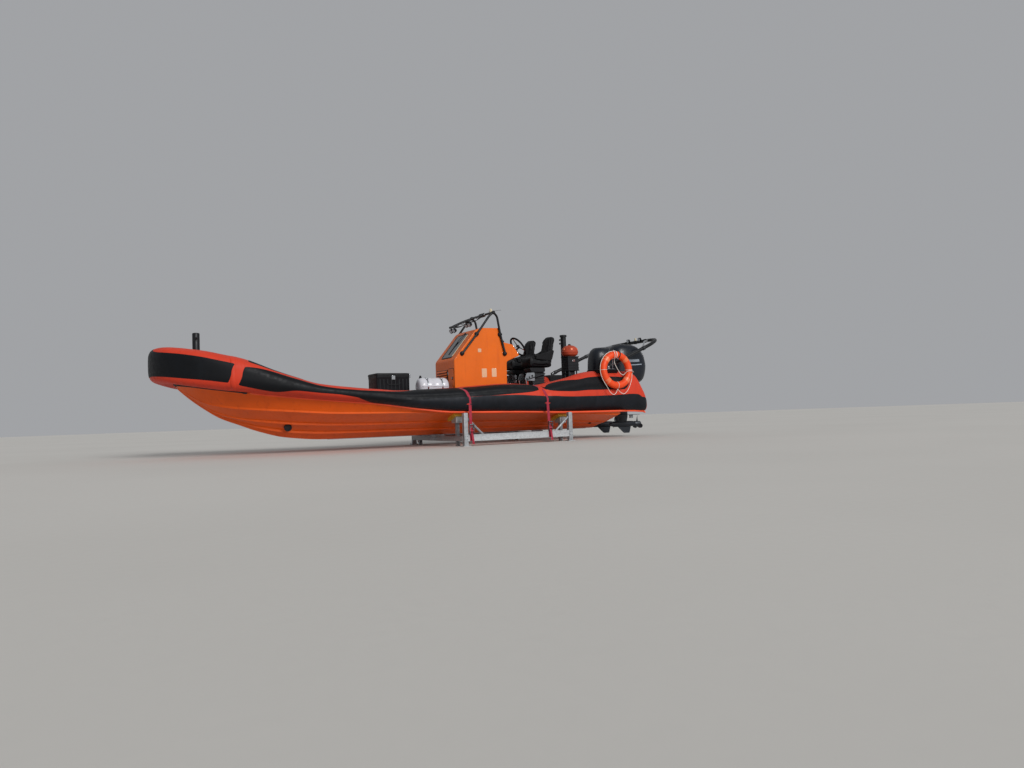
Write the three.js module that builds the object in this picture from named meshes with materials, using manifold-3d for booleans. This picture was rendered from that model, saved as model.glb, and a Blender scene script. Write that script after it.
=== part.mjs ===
// Rigid inflatable rescue boat with twin outboards, standing on its transport cradle.
// Millimetres. +X to the bow, +Y to port, +Z up. z = 0 is the ground under the cradle's feet.
import * as THREE from 'three';
import { mergeVertices } from 'three/addons/utils/BufferGeometryUtils.js';
import Module from 'manifold-3d';

const wasm = await Module();
wasm.setup();

// Driving dimensions
const GAP = 0.3; // between pieces that rest on each other
const PIN_PLAY = 0.5; // radial clearance of a bore round its pin
const DECK = { underside: 800, top: 825, halfWidth: 600 };
const TRANSOM = { x: -3300, thick: 50, top: 950, halfWidth: 560 };
const BOW = { curveStart: 1600, tubeFront: 4040, seam: 3250, roundness: 2.3 };
const TUBE = { baffle: -1600, centreY: 885, sides: 20 };
const CONSOLE = { halfWidth: 400, wall: 15 };
const ENGINE = { offsetY: 330, tiltX: -3450, tiltZ: 930, steerX: -3550, shaftZ: 235, propRadius: 155 };
const ARCH = { hingeX: -3100, hingeZ: 1275, legY: 940, legRadius: 32 };
const MAST = { hingeX: -1090, hingeZ: 2262, length: 640, droop: 20.6 };
const RING = { x: -3180, y: 1084, z: 1211, majorRadius: 275, tubeRadius: 63, lean: 3.5 };
const CRADLE = { frontX: -165, rearX: -2140, postY: 1100, post: 70, beamLow: 80, beamHigh: 160 };
const LOCKER = { aft: 400, fore: 980, halfWidth: 220, rim: 1190, lid: 40, wall: 12 };
const RAFT = { x0: -250, x1: 290, y: 255, radius: 150 };

const PAINT = {
  gelcoat: [0xd2560f, 0.35, 0],
  tube: [0xc8452a, 0.6, 0],
  black: [0x16191f, 0.55, 0],
  deck: [0x5b5f63, 0.8, 0],
  engine: [0x1b222d, 0.3, 0],
  galvanised: [0xb9bcc0, 0.5, 0.8],
  steel: [0xc9ccd0, 0.25, 1],
  yellow: [0xd6b24a, 0.6, 0],
  cushion: [0x101216, 0.7, 0],
  white: [0xe9e9e4, 0.4, 0],
  ring: [0xe2531e, 0.55, 0],
  webbing: [0xb03048, 0.85, 0],
  screen: [0x20262c, 0.1, 0],
};
const paints = Object.fromEntries(
  Object.entries(PAINT).map(([name, [color, roughness, metalness]]) => [
    name,
    new THREE.MeshStandardMaterial({ color, roughness, metalness }),
  ]),
);

const boat = new THREE.Group();
boat.position.x = 95.6; // puts the origin under the middle of the overall length

function add(name, geometry, paint) {
  const mesh = new THREE.Mesh(geometry, paints[paint]);
  mesh.name = name;
  boat.add(mesh);
}

// Joining and cutting
function solid(geometry) {
  const bare = geometry.clone();
  bare.deleteAttribute('normal');
  bare.deleteAttribute('uv');
  const merged = mergeVertices(bare, 1e-3);
  const vertProperties = new Float32Array(merged.attributes.position.array);
  const triVerts = new Uint32Array(merged.index.array);
  return new wasm.Manifold(new wasm.Mesh({ numProp: 3, vertProperties, triVerts }));
}

function shell(manifold) {
  const mesh = manifold.getMesh();
  const geometry = new THREE.BufferGeometry();
  geometry.setAttribute('position', new THREE.BufferAttribute(mesh.vertProperties, 3));
  geometry.setIndex(new THREE.BufferAttribute(mesh.triVerts, 1));
  geometry.computeVertexNormals();
  return geometry;
}

const join = (...pieces) => shell(pieces.map(solid).reduce((all, one) => all.add(one)));
const cut = (body, ...tools) => {
  const cutters = tools.map(solid);
  return shell(cutters.reduce((left, tool) => left.subtract(tool), solid(body)));
};
const common = (body, other) => shell(solid(body).intersect(solid(other)));

// Basic shapes
function block([x0, x1], [y0, y1], [z0, z1]) {
  const box = new THREE.BoxGeometry(Math.abs(x1 - x0), Math.abs(y1 - y0), Math.abs(z1 - z0));
  return box.translate((x0 + x1) / 2, (y0 + y1) / 2, (z0 + z1) / 2);
}

function rod(from, to, radius, sides = 16, endRadius = radius) {
  const a = new THREE.Vector3(...from);
  const b = new THREE.Vector3(...to);
  const along = b.clone().sub(a);
  const cylinder = new THREE.CylinderGeometry(endRadius, radius, along.length(), sides);
  const upright = new THREE.Vector3(0, 1, 0);
  const turn = new THREE.Quaternion().setFromUnitVectors(upright, along.clone().normalize());
  const middle = a.add(b).multiplyScalar(0.5);
  return cylinder.applyQuaternion(turn).translate(middle.x, middle.y, middle.z);
}

function circle(radius, sides) {
  const outline = new THREE.Shape();
  for (let i = 0; i <= sides; i += 1) {
    const angle = (2 * Math.PI * i) / sides;
    const point = [radius * Math.cos(angle), radius * Math.sin(angle)];
    if (i) outline.lineTo(...point);
    else outline.moveTo(...point);
  }
  return outline;
}

function pipe(points, radius, steps, sides = 10) {
  const path = new THREE.CatmullRomCurve3(points.map((p) => new THREE.Vector3(...p)), false, 'centripetal');
  return new THREE.ExtrudeGeometry(circle(radius, sides), { steps, extrudePath: path });
}

// Flat outline in x and z, extruded from y0 to y1
function sideways(outline, y0, y1) {
  const shape = new THREE.Shape(outline.map(([x, z]) => new THREE.Vector2(x, z)));
  const plate = new THREE.ExtrudeGeometry(shape, { depth: y1 - y0, bevelEnabled: false });
  return plate.rotateX(Math.PI / 2).translate(0, y1, 0);
}

// Flat outline in y and z, extruded from x0 to x1
function lengthways(outline, x0, x1) {
  const shape = new THREE.Shape(outline.map(([y, z]) => new THREE.Vector2(y, z)));
  const plate = new THREE.ExtrudeGeometry(shape, { depth: x1 - x0, bevelEnabled: false });
  return plate.rotateX(Math.PI / 2).rotateZ(Math.PI / 2).translate(x0, 0, 0);
}

// Skin over closed rings of points with the same count, with flat ends.
// In a symmetric ring the second half mirrors the first.
function loft(rings, symmetric = false) {
  const count = rings[0].length;
  const positions = rings.flat().flat();
  const index = [];
  for (let i = 0; i + 1 < rings.length; i += 1) {
    for (let j = 0; j < count; j += 1) {
      const k = (j + 1) % count;
      const [a, b, c, d] = [i * count + j, i * count + k, (i + 1) * count + k, (i + 1) * count + j];
      if (symmetric && j >= count / 2) index.push(a, b, d, b, c, d);
      else index.push(a, b, c, a, c, d);
    }
  }
  const last = (rings.length - 1) * count;
  if (symmetric) index.push(...mirrorCap(count, 0, true), ...mirrorCap(count, last, false));
  else index.push(...endCap(rings[0], 0, true), ...endCap(rings.at(-1), last, false));
  const geometry = new THREE.BufferGeometry();
  geometry.setAttribute('position', new THREE.Float32BufferAttribute(positions, 3));
  geometry.setIndex(volumeOf(positions, index) < 0 ? turned(index) : index);
  return geometry;
}

// End face of a symmetric ring, in strips from each point to its mirror image
function mirrorCap(count, first, backwards) {
  const out = [];
  for (let i = 0; i + 1 < count / 2; i += 1) {
    const [a, b, c, d] = [i, i + 1, count - 2 - i, count - 1 - i].map((corner) => first + corner);
    out.push(...(backwards ? [b, a, d, b, d, c] : [a, b, d, b, c, d]));
  }
  return out;
}

function endCap(ring, first, backwards) {
  const points = ring.map((p) => new THREE.Vector3(...p));
  const normal = new THREE.Vector3();
  points.forEach((p, i) => normal.add(p.clone().cross(points[(i + 1) % points.length])));
  normal.normalize();
  const side = Math.abs(normal.z) < 0.9 ? new THREE.Vector3(0, 0, 1) : new THREE.Vector3(1, 0, 0);
  const u = side.clone().cross(normal).normalize();
  const v = normal.clone().cross(u);
  const flat = points.map((p) => new THREE.Vector2(p.dot(u), p.dot(v)));
  const faces = THREE.ShapeUtils.triangulateShape(flat, []);
  const ringSign = Math.sign(THREE.ShapeUtils.area(flat));
  const out = [];
  for (const face of faces) {
    const faceSign = Math.sign(THREE.ShapeUtils.area(face.map((i) => flat[i])));
    const same = faceSign === ringSign;
    const [a, b, c] = same === backwards ? [face[0], face[2], face[1]] : face;
    out.push(first + a, first + b, first + c);
  }
  return out;
}

function volumeOf(positions, index) {
  let volume = 0;
  const at = (i) => new THREE.Vector3(positions[3 * i], positions[3 * i + 1], positions[3 * i + 2]);
  for (let i = 0; i < index.length; i += 3) {
    volume += at(index[i]).dot(at(index[i + 1]).cross(at(index[i + 2])));
  }
  return volume;
}

function turned(index) {
  const out = [];
  for (let i = 0; i < index.length; i += 3) out.push(index[i], index[i + 2], index[i + 1]);
  return out;
}

// Straight-line value of one column of a table of stations
function along(table, column, x) {
  const last = table.length - 1;
  if (x <= table[0].x) return table[0][column];
  if (x >= table[last].x) return table[last][column];
  const i = table.findIndex((row) => row.x > x) - 1;
  const share = (x - table[i].x) / (table[i + 1].x - table[i].x);
  return table[i][column] + share * (table[i + 1][column] - table[i][column]);
}

// Rows of numbers as objects with named columns
const named = (columns, rows) => {
  const object = (row) => Object.fromEntries(columns.map((name, i) => [name, row[i]]));
  return rows.map(object);
};

const both = [
  ['port', 1],
  ['starboard', -1],
];

// Hull: a moulded vee with spray rails, a seat for the tube along each edge and an open inside
const HULL_COLUMNS = 'x keel rail3Y rail3Z rail2Y rail2Z chineY chineZ edgeY edgeZ';
const HULL_STATIONS = named(HULL_COLUMNS.split(' '), [
  [-3300, 185, 240, 245, 500, 300, 930, 430, 1000, 490],
  [-2400, 187, 250, 265, 520, 340, 950, 470, 1010, 495],
  [-1200, 190, 260, 285, 530, 385, 960, 510, 1015, 530],
  [0, 190, 270, 297, 540, 412, 950, 548, 1015, 560],
  [500, 190, 270, 300, 535, 415, 935, 575, 1010, 612],
  [1200, 190, 260, 302, 510, 420, 890, 590, 990, 715],
  [1800, 192, 240, 312, 470, 435, 830, 605, 945, 775],
  [2400, 245, 190, 355, 395, 475, 730, 650, 860, 838],
  [2800, 350, 130, 425, 310, 520, 620, 685, 770, 888],
  [3100, 465, 80, 510, 220, 560, 500, 715, 670, 930],
  [3350, 565, 50, 595, 140, 630, 370, 750, 560, 970],
  [3600, 725, 35, 742, 75, 760, 215, 810, 410, 1012],
  [3800, 880, 32, 892, 50, 903, 110, 925, 270, 1050],
  [3950, 1020, 29, 1023, 34, 1027, 45, 1032, 120, 1075],
]);
const KEEL_HALF_WIDTH = 25;
const RIM_STEP = 5; // the hull's top stands this far over its edge in the bow
const LEDGE = { widest: 32, share: 0.3 }; // underside of a spray rail, at most this share of its panel
const LIP = { out: 14, deep: 22, overChine: 4 }; // rubbing lip along the hull's edge, under the tube

const hullAt = (column, x) => along(HULL_STATIONS, column, x);
for (const row of HULL_STATIONS) row.rim = Math.max(DECK.underside, row.edgeZ + RIM_STEP);
const rimZ = (x) => hullAt('rim', x);
const seatY = (x) => Math.min(DECK.halfWidth, Math.max(hullAt('edgeY', x) - 300, 40));
const mirrored = (half) => [...half, ...half.map(([y, z]) => [-y, z]).reverse()];

// A spray rail: the panel stops short, a level ledge runs out, and its face rises to the next panel
function railPoints([fromY, fromZ], [toY, toZ]) {
  const ledge = Math.min(LEDGE.widest, LEDGE.share * (toY - fromY));
  const low = toZ - (ledge * (toZ - fromZ)) / (toY - fromY);
  return [
    [toY - ledge, low],
    [toY, low],
    [toY, toZ],
  ];
}

function hullRing(x, grow) {
  const at = (column) => hullAt(column, x);
  const keel = [KEEL_HALF_WIDTH, at('keel')];
  const rail3 = [at('rail3Y'), at('rail3Z')];
  const rail2 = [at('rail2Y'), at('rail2Z')];
  const chine = [at('chineY') + 4 * grow, at('chineZ')];
  const lipLow = Math.max(at('edgeZ') - LIP.deep, at('chineZ') + LIP.overChine);
  const half = [
    keel,
    ...railPoints(keel, rail3),
    ...railPoints(rail3, rail2),
    ...railPoints(rail2, chine),
    [at('edgeY') - 2 + 8 * grow, lipLow],
    [at('edgeY') + LIP.out + 8 * grow, lipLow + 2],
    [at('edgeY') + LIP.out + 8 * grow, at('edgeZ') + grow],
    [seatY(x) + grow, at('edgeZ') + grow],
    [seatY(x) + grow, rimZ(x) + grow],
  ];
  return mirrored(half).map(([y, z]) => [x, y, z]);
}

function hollowRing(x, wall) {
  const at = (column) => hullAt(column, x);
  const under = at('edgeZ') - wall;
  const half = [
    [KEEL_HALF_WIDTH, at('keel') + wall],
    [at('rail3Y'), at('rail3Z') + wall],
    [at('rail2Y'), at('rail2Z') + wall],
    [at('chineY') - 2 * wall, Math.min(at('chineZ') + wall, under - 5)],
    [seatY(x) - wall, under],
    [seatY(x) - wall, rimZ(x) + 100],
  ];
  return mirrored(half).map(([y, z]) => [x, y, z]);
}

function hullBody(grow) {
  const xs = HULL_STATIONS.map((row) => row.x);
  return loft(xs.map((x) => hullRing(x, grow)), true);
}

const HULL_WALL = 30;
const HOLLOW_XS = [-3400, -3300, -2400, -1200, 0, 500, 1200, 1700];
const hullSeat = hullBody(GAP);
const hullSolid = hullBody(0);
add('hull', cut(hullSolid, loft(HOLLOW_XS.map((x) => hollowRing(x, HULL_WALL)), true)), 'gelcoat');

// Keel strip under the vee, from the transom to where the stem starts to rise
const KEEL_STRIP = { x0: -3200, x1: 1750, halfWidth: 18, thick: 8 };
const keelUnder = (x) => hullAt('keel', x) - GAP;
add(
  'keel_strip',
  loft(
    [KEEL_STRIP.x0, -2400, -1200, 0, 1200, KEEL_STRIP.x1].map((x) => [
      [x, KEEL_STRIP.halfWidth, keelUnder(x)],
      [x, -KEEL_STRIP.halfWidth, keelUnder(x)],
      [x, -KEEL_STRIP.halfWidth, keelUnder(x) - KEEL_STRIP.thick],
      [x, KEEL_STRIP.halfWidth, keelUnder(x) - KEEL_STRIP.thick],
    ]),
  ),
  'galvanised',
);

// Tube path in plan: straight sides, then a superellipse round the bow
const TUBE_STATIONS = named(['x', 'top', 'centreY', 'halfWidth', 'low', 'squareness'], [
  [-3960, 730, 820, 110, 470, 2.4],
  [-3880, 880, 820, 165, 470, 2.4],
  [-3680, 1160, 820, 205, 478, 2.4],
  [-3450, 1205, 820, 215, 482, 2.4],
  [-2960, 1210, 820, 215, 484, 2.4],
  [-2670, 1190, 830, 222, 486, 2.4],
  [-2230, 1085, 860, 250, 490, 2.4],
  [-1890, 1020, 878, 268, 498, 2.4],
  [-1600, 975, 885, 275, 508, 2.4],
  [-1080, 1000, 885, 275, 524, 2.4],
  [-150, 955, 885, 275, 548, 2.4],
  [400, 925, 885, 275, 594, 2.4],
  [840, 912, 885, 275, 654, 2.4],
  [1230, 938, 885, 275, 710, 2.4],
  [1600, 970, 885, 275, 746, 2.4],
  [2100, 1030, 885, 275, 794, 2.4],
  [2470, 1142, 885, 278, 839, 2.4],
  [2710, 1228, 885, 280, 869, 2.6],
  [3150, 1410, 885, 282, 932, 3],
  [3400, 1473, 885, 285, 962, 3.3],
  [3600, 1525, 885, 288, 994, 3.6],
  [3850, 1575, 885, 290, 1046, 4],
  [4040, 1618, 885, 290, 1100, 4],
]);
const tubeAt = (column, x) => along(TUBE_STATIONS, column, x);

function straightPlace(x) {
  return { x, y: tubeAt('centreY', x), nx: 0, ny: 1 };
}

// angle 0 is where the port side starts to curve, a right angle is the bow, two of them the starboard side
function bowPlace(angle) {
  const power = 2 / BOW.roundness;
  const reach = BOW.tubeFront - BOW.curveStart;
  const c = Math.cos(angle);
  const s = Math.sin(angle);
  const x = BOW.curveStart + reach * s ** power;
  const y = Math.sign(c) * TUBE.centreY * Math.abs(c) ** power;
  const gradient = new THREE.Vector2(
    ((x - BOW.curveStart) / reach) ** (BOW.roundness - 1) / reach,
    (Math.sign(y) * Math.abs(y / TUBE.centreY) ** (BOW.roundness - 1)) / TUBE.centreY,
  ).normalize();
  return { x, y, nx: gradient.x, ny: gradient.y };
}

function tubeRing(place, shrink = 0) {
  const halfWidth = tubeAt('halfWidth', place.x) - shrink;
  const low = tubeAt('low', place.x) + shrink;
  const high = tubeAt('top', place.x) - shrink;
  const power = 2 / tubeAt('squareness', place.x);
  const ring = [];
  for (let i = 0; i < TUBE.sides; i += 1) {
    const angle = (2 * Math.PI * i) / TUBE.sides;
    const c = Math.cos(angle);
    const s = Math.sin(angle);
    const out = halfWidth * Math.sign(c) * Math.abs(c) ** power;
    const up = (low + high) / 2 + ((high - low) / 2) * Math.sign(s) * Math.abs(s) ** power;
    ring.push([place.x + place.nx * out, place.y + place.ny * out, up]);
  }
  return ring;
}

const swapSides = (geometry) => {
  const flipped = geometry.clone().scale(1, -1, 1);
  return flipped.setIndex(turned(flipped.index.array));
};
const onSide = (geometry, side) => (side > 0 ? geometry : swapSides(geometry));

const SEAM_GAP = 0.4;
function bowAngle(x) {
  const share = (x - BOW.curveStart) / (BOW.tubeFront - BOW.curveStart);
  return Math.asin(share ** (BOW.roundness / 2));
}
const seamAngle = bowAngle(BOW.seam);
const angles = (from, to, steps) => {
  const step = (to - from) / steps;
  return Array.from({ length: steps + 1 }, (_, i) => from + i * step);
};

// Stern quarter pods, moulded in black, that carry the arch and stand inside the aft ends of the tube
const POD = { x0: -3290, x1: -2850, y0: 625, y1: 990, low: 486, top: 1235, round: 60 };
function podBody(grow) {
  const { x0, x1, y0, y1, low, top, round } = POD;
  const outline = [
    [x0 - grow, low],
    [x1 + grow, low],
    [x1 + grow, top - round],
    [x1 - round, top + grow],
    [x0 + round, top + grow],
    [x0 - grow, top - round],
  ];
  return sideways(outline, y0 - grow, y1 + grow);
}

const deckXs = [TRANSOM.x + 10, BOW.curveStart, 1800];
const innerHalfWidth = (x) => {
  const share = Math.max(0, x - BOW.curveStart) / (3745 - BOW.curveStart);
  return DECK.halfWidth * (1 - share ** BOW.roundness) ** (1 / BOW.roundness);
};
const plankRing = (x, low, high) => [
  [x, innerHalfWidth(x), low],
  [x, -innerHalfWidth(x), low],
  [x, -innerHalfWidth(x), high],
  [x, innerHalfWidth(x), high],
];
add('deck', loft(deckXs.map((x) => plankRing(x, DECK.underside + GAP, DECK.top))), 'deck');

const foredeckXs = [1801, 2400, 2800, 3100, 3350, 3600, 3745];
const foredeckTop = (x) => rimZ(x) + GAP + 22;
add('foredeck', loft(foredeckXs.map((x) => plankRing(x, rimZ(x) + GAP, foredeckTop(x)))), 'deck');

// Inflatable tube in five chambers, partly deflated amidships
const aftXs = [-3960, -3880, -3680, -3450, -2960, -2670, -2230, -1890, TUBE.baffle];
const midXs = [TUBE.baffle + SEAM_GAP, -1080, -150, 400, 840, 1230, 1560];
const aftChamber = cut(loft(aftXs.map((x) => tubeRing(straightPlace(x)))), hullSeat, podBody(GAP));
const midPlaces = [...midXs.map(straightPlace), ...angles(0, seamAngle, 8).map(bowPlace)];
const midChamber = cut(loft(midPlaces.map((place) => tubeRing(place))), hullSeat);
const seamStep = SEAM_GAP / 700;
const bowChamber = cut(
  loft(angles(seamAngle + seamStep, Math.PI - seamAngle - seamStep, 14).map((a) => tubeRing(bowPlace(a)))),
  hullSeat,
);
add('collar_bow', bowChamber, 'tube');
for (const [name, side] of both) {
  add(`collar_${name}_fore`, onSide(midChamber, side), 'tube');
  add(`collar_${name}_aft`, onSide(aftChamber, side), 'tube');
  add(`stern_pod_${name}`, onSide(cut(podBody(0), hullSeat), side), 'black');
}

// Transom, closing the hull's after end and carrying the engines
const transomHalf = [
  [KEEL_HALF_WIDTH, 187],
  [240, 247],
  [500, 302],
  [920, 428],
  [940, 452],
  [600, 462],
  [TRANSOM.halfWidth, TRANSOM.top],
];
const transomBack = TRANSOM.x - TRANSOM.thick;
add('transom_board', lengthways(mirrored(transomHalf), transomBack, TRANSOM.x - GAP), 'gelcoat');

// Bow mooring post on the foredeck
const BOW_POST = { x: 3680, radius: 52, base: 1086, top: 1850 };
add(
  'bow_post',
  join(
    block([BOW_POST.x - 60, BOW_POST.x + 60], [-60, 60], [foredeckTop(BOW_POST.x + 60) + GAP, BOW_POST.base]),
    rod([BOW_POST.x, 0, BOW_POST.base - 8], [BOW_POST.x, 0, BOW_POST.top], BOW_POST.radius, 20),
    rod([BOW_POST.x, -105, 1770], [BOW_POST.x, 105, 1770], 13, 10),
  ),
  'black',
);

// Forward deck locker with a lid hinged along its after edge
const lockerOuter = block(
  [LOCKER.aft, LOCKER.fore],
  [-LOCKER.halfWidth, LOCKER.halfWidth],
  [DECK.top + GAP, LOCKER.rim],
);
const lockerInner = block(
  [LOCKER.aft + LOCKER.wall, LOCKER.fore - LOCKER.wall],
  [LOCKER.wall - LOCKER.halfWidth, LOCKER.halfWidth - LOCKER.wall],
  [DECK.top + LOCKER.wall, LOCKER.rim + 50],
);
const LID_HINGE = { x: LOCKER.aft - 14, z: LOCKER.rim + 10, pin: 5, barrel: 10 };
const lidLugs = [-190, 190].map((y) =>
  block([LID_HINGE.x - 8, LOCKER.aft + 2], [y - 8, y + 8], [LOCKER.rim - 40, LID_HINGE.z + 8]),
);
const lidPlate = block(
  [LOCKER.aft, LOCKER.fore + 6],
  [-LOCKER.halfWidth - 6, LOCKER.halfWidth + 6],
  [LOCKER.rim + GAP, LOCKER.rim + LOCKER.lid],
);
const hingeRod = (half, radius) => {
  const { x, z } = LID_HINGE;
  return rod([x, -half, z], [x, half, z], radius, 16);
};
const lidArm = block([LID_HINGE.x, LOCKER.aft + 10], [-170, 170], [LID_HINGE.z, LID_HINGE.z + 10]);
add('locker_box', join(cut(lockerOuter, lockerInner), ...lidLugs, hingeRod(195, LID_HINGE.pin)), 'black');
const lidNotches = [-1, 1].map((s) =>
  block([LOCKER.aft - 20, LOCKER.aft + 8], [s * 174, s * 230], [LOCKER.rim - 60, LOCKER.rim + 60]),
);
add(
  'locker_lid',
  cut(
    join(lidPlate, hingeRod(170, LID_HINGE.barrel), lidArm),
    hingeRod(260, LID_HINGE.pin + PIN_PLAY),
    ...lidNotches,
  ),
  'black',
);

// Liferaft canister lying on two saddles
const raftZ = DECK.top + 20 + RAFT.radius;
const raftBody = (grow) => {
  const outline = [
    [0, RAFT.x0 - grow],
    [105 + grow, RAFT.x0 - grow],
    [RAFT.radius + grow, RAFT.x0 + 45],
    [RAFT.radius + grow, RAFT.x1 - 45],
    [105 + grow, RAFT.x1 + grow],
    [0, RAFT.x1 + grow],
  ].map(([r, x]) => new THREE.Vector2(r, x));
  return new THREE.LatheGeometry(outline, 20).rotateZ(-Math.PI / 2).translate(0, RAFT.y, raftZ);
};
add('liferaft_canister', raftBody(0), 'white');
const saddles = [-120, 160].map((x) =>
  block([x - 25, x + 25], [RAFT.y - 120, RAFT.y + 120], [DECK.top + 5, DECK.top + 90]),
);
const saddleBase = block([-145, 185], [RAFT.y - 60, RAFT.y + 60], [DECK.top + GAP, DECK.top + 12]);
add('liferaft_rack', cut(join(...saddles, saddleBase), raftBody(GAP)), 'steel');

// Console: a shell open underneath, with a sloped front and a helm pod that overhangs aft
const consoleOutline = [
  [-1330, DECK.top + GAP],
  [-330, DECK.top + GAP],
  [-330, 1440],
  [-750, 1950],
  [-850, 1990],
  [-1230, 1995],
  [-1275, 1750],
  [-1470, 1710],
  [-1600, 1520],
  [-1340, 1410],
];

function inset(outline, wall) {
  return outline.map((point, i) => {
    const [before, after] = [outline.at(i - 1), outline[(i + 1) % outline.length]];
    const a = new THREE.Vector2(point[0] - before[0], point[1] - before[1]).normalize();
    const b = new THREE.Vector2(after[0] - point[0], after[1] - point[1]).normalize();
    const inward = new THREE.Vector2(-a.y - b.y, a.x + b.x);
    const stretch = wall / (1 + a.dot(b));
    return [point[0] + inward.x * stretch, point[1] + inward.y * stretch];
  });
}

const consoleInner = inset(consoleOutline, CONSOLE.wall).map(([x, z]) => [x, z < 900 ? 780 : z]);
// Middle of the helm face and its normal
const helm = { x: -1535, z: 1615, nx: -Math.cos(0.6), nz: Math.sin(0.6) };
const helmPoint = (out) => [helm.x + helm.nx * out, 300, helm.z + helm.nz * out];
const helmShaft = rod(helmPoint(-12), helmPoint(135), 10, 16);
const consoleShell = cut(
  sideways(consoleOutline, -CONSOLE.halfWidth, CONSOLE.halfWidth),
  sideways(consoleInner, CONSOLE.wall - CONSOLE.halfWidth, CONSOLE.halfWidth - CONSOLE.wall),
);
add('console', join(consoleShell, helmShaft), 'gelcoat');

// Windscreen let into the sloped front
const slopeAngle = Math.atan2(1950 - 1440, -750 + 330);
const screen = new THREE.BoxGeometry(520, 420, 8).rotateY(-slopeAngle);
const screenOut = 4 + GAP;
screen.translate(-540 + screenOut * Math.sin(slopeAngle), 0, 1695 - screenOut * Math.cos(slopeAngle));
add('console_windscreen', screen, 'screen');

// Tube frame over the console: a hoop each side and a bar across that the mast turns on
const FRAME_Y = CONSOLE.halfWidth + 25;
const hoopPoints = (y) => [
  [-480, y, 1540],
  [-765, y, 1880],
  [-1010, y, 2200],
  [MAST.hingeX, y, MAST.hingeZ],
  [-1160, y, 2200],
  [-1215, y, 1880],
  [-1300, y, 1540],
];
const HOOP_FEET = [
  { x: -480, z: 1545 },
  { x: -765, z: 1880 },
  { x: -1215, z: 1880 },
  { x: -1300, z: 1545 },
];
const hoopFeet = (side) => {
  const [inner, outer] = [side * (CONSOLE.halfWidth + GAP), side * (FRAME_Y + 12)];
  return HOOP_FEET.map(({ x, z }) => rod([x, inner, z], [x, outer, z], 30, 14));
};
const crossBar = rod([MAST.hingeX, -FRAME_Y, MAST.hingeZ], [MAST.hingeX, FRAME_Y, MAST.hingeZ], 19, 24);
add(
  'console_frame',
  join(
    pipe(hoopPoints(FRAME_Y), 19, 18, 8),
    pipe(hoopPoints(-FRAME_Y), 19, 18, 8),
    crossBar,
    ...both.flatMap(([, side]) => hoopFeet(side)),
  ),
  'black',
);

// Light mast, folded forward over the screen and turning on the frame's bar
const mastDown = (MAST.droop * Math.PI) / 180;
const mastPoint = (out, y) => [
  MAST.hingeX + out * Math.cos(mastDown),
  y,
  MAST.hingeZ - out * Math.sin(mastDown),
];
const mastRails = [-60, 60].map((y) => rod(mastPoint(30, y), mastPoint(MAST.length, y), 13, 10));
const mastKnuckle = rod([MAST.hingeX, -85, MAST.hingeZ], [MAST.hingeX, 85, MAST.hingeZ], 36, 20);
const mastTies = [320, MAST.length].map((out) => rod(mastPoint(out, -85), mastPoint(out, 85), 24, 12));
add(
  'console_mast',
  cut(
    join(mastKnuckle, ...mastRails, ...mastTies),
    rod([MAST.hingeX, -120, MAST.hingeZ], [MAST.hingeX, 120, MAST.hingeZ], 19 + PIN_PLAY, 24),
  ),
  'black',
);

// Steering wheel on the helm shaft
const wheelTilt = Math.atan2(helm.nx, helm.nz);
const WHEEL = { out: 115, rim: 180, wire: 14, hub: 38 };
const wheelRim = new THREE.TorusGeometry(WHEEL.rim, WHEEL.wire, 6, 24);
const wheelHub = new THREE.CylinderGeometry(WHEEL.hub, WHEEL.hub, 26, 20).rotateX(Math.PI / 2);
const wheelSpokes = [0, 1, 2].map((i) => {
  const spoke = new THREE.BoxGeometry(WHEEL.rim - 20, 30, 8).translate(WHEEL.rim / 2 + 8, 0, 0);
  return spoke.rotateZ(Math.PI / 2 + (2 * Math.PI * i) / 3);
});
const wheelBore = new THREE.CylinderGeometry(10 + PIN_PLAY, 10 + PIN_PLAY, 80, 16).rotateX(Math.PI / 2);
const flatWheel = cut(join(wheelRim, wheelHub, ...wheelSpokes), wheelBore);
add('steering_wheel', flatWheel.rotateY(wheelTilt).translate(...helmPoint(WHEEL.out)), 'black');

// Throttle box and lever on the helm face beside the wheel
const throttleBox = new THREE.BoxGeometry(70, 60, 90).translate(0, 0, 45 + GAP);
const throttleLever = new THREE.BoxGeometry(14, 50, 130).rotateY(0.35).translate(10, 0, 140);
add(
  'throttle',
  join(throttleBox, throttleLever).rotateY(wheelTilt).translate(helm.x, -20, helm.z),
  'black',
);

// Two jockey seats side by side behind the console
const SEAT = { y: 330, halfWidth: 190, waist: 150, shoulder: 1700, top: 1885, low: 1300 };
const seatOutline = [
  [-1745, 1330],
  [-2080, SEAT.low],
  [-2190, 1330],
  [-2330, 1840],
  [-2305, SEAT.top],
  [-2240, SEAT.top],
  [-2190, 1820],
  [-2095, 1500],
  [-2060, 1475],
  [-1770, 1500],
  [-1735, 1470],
];
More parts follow.
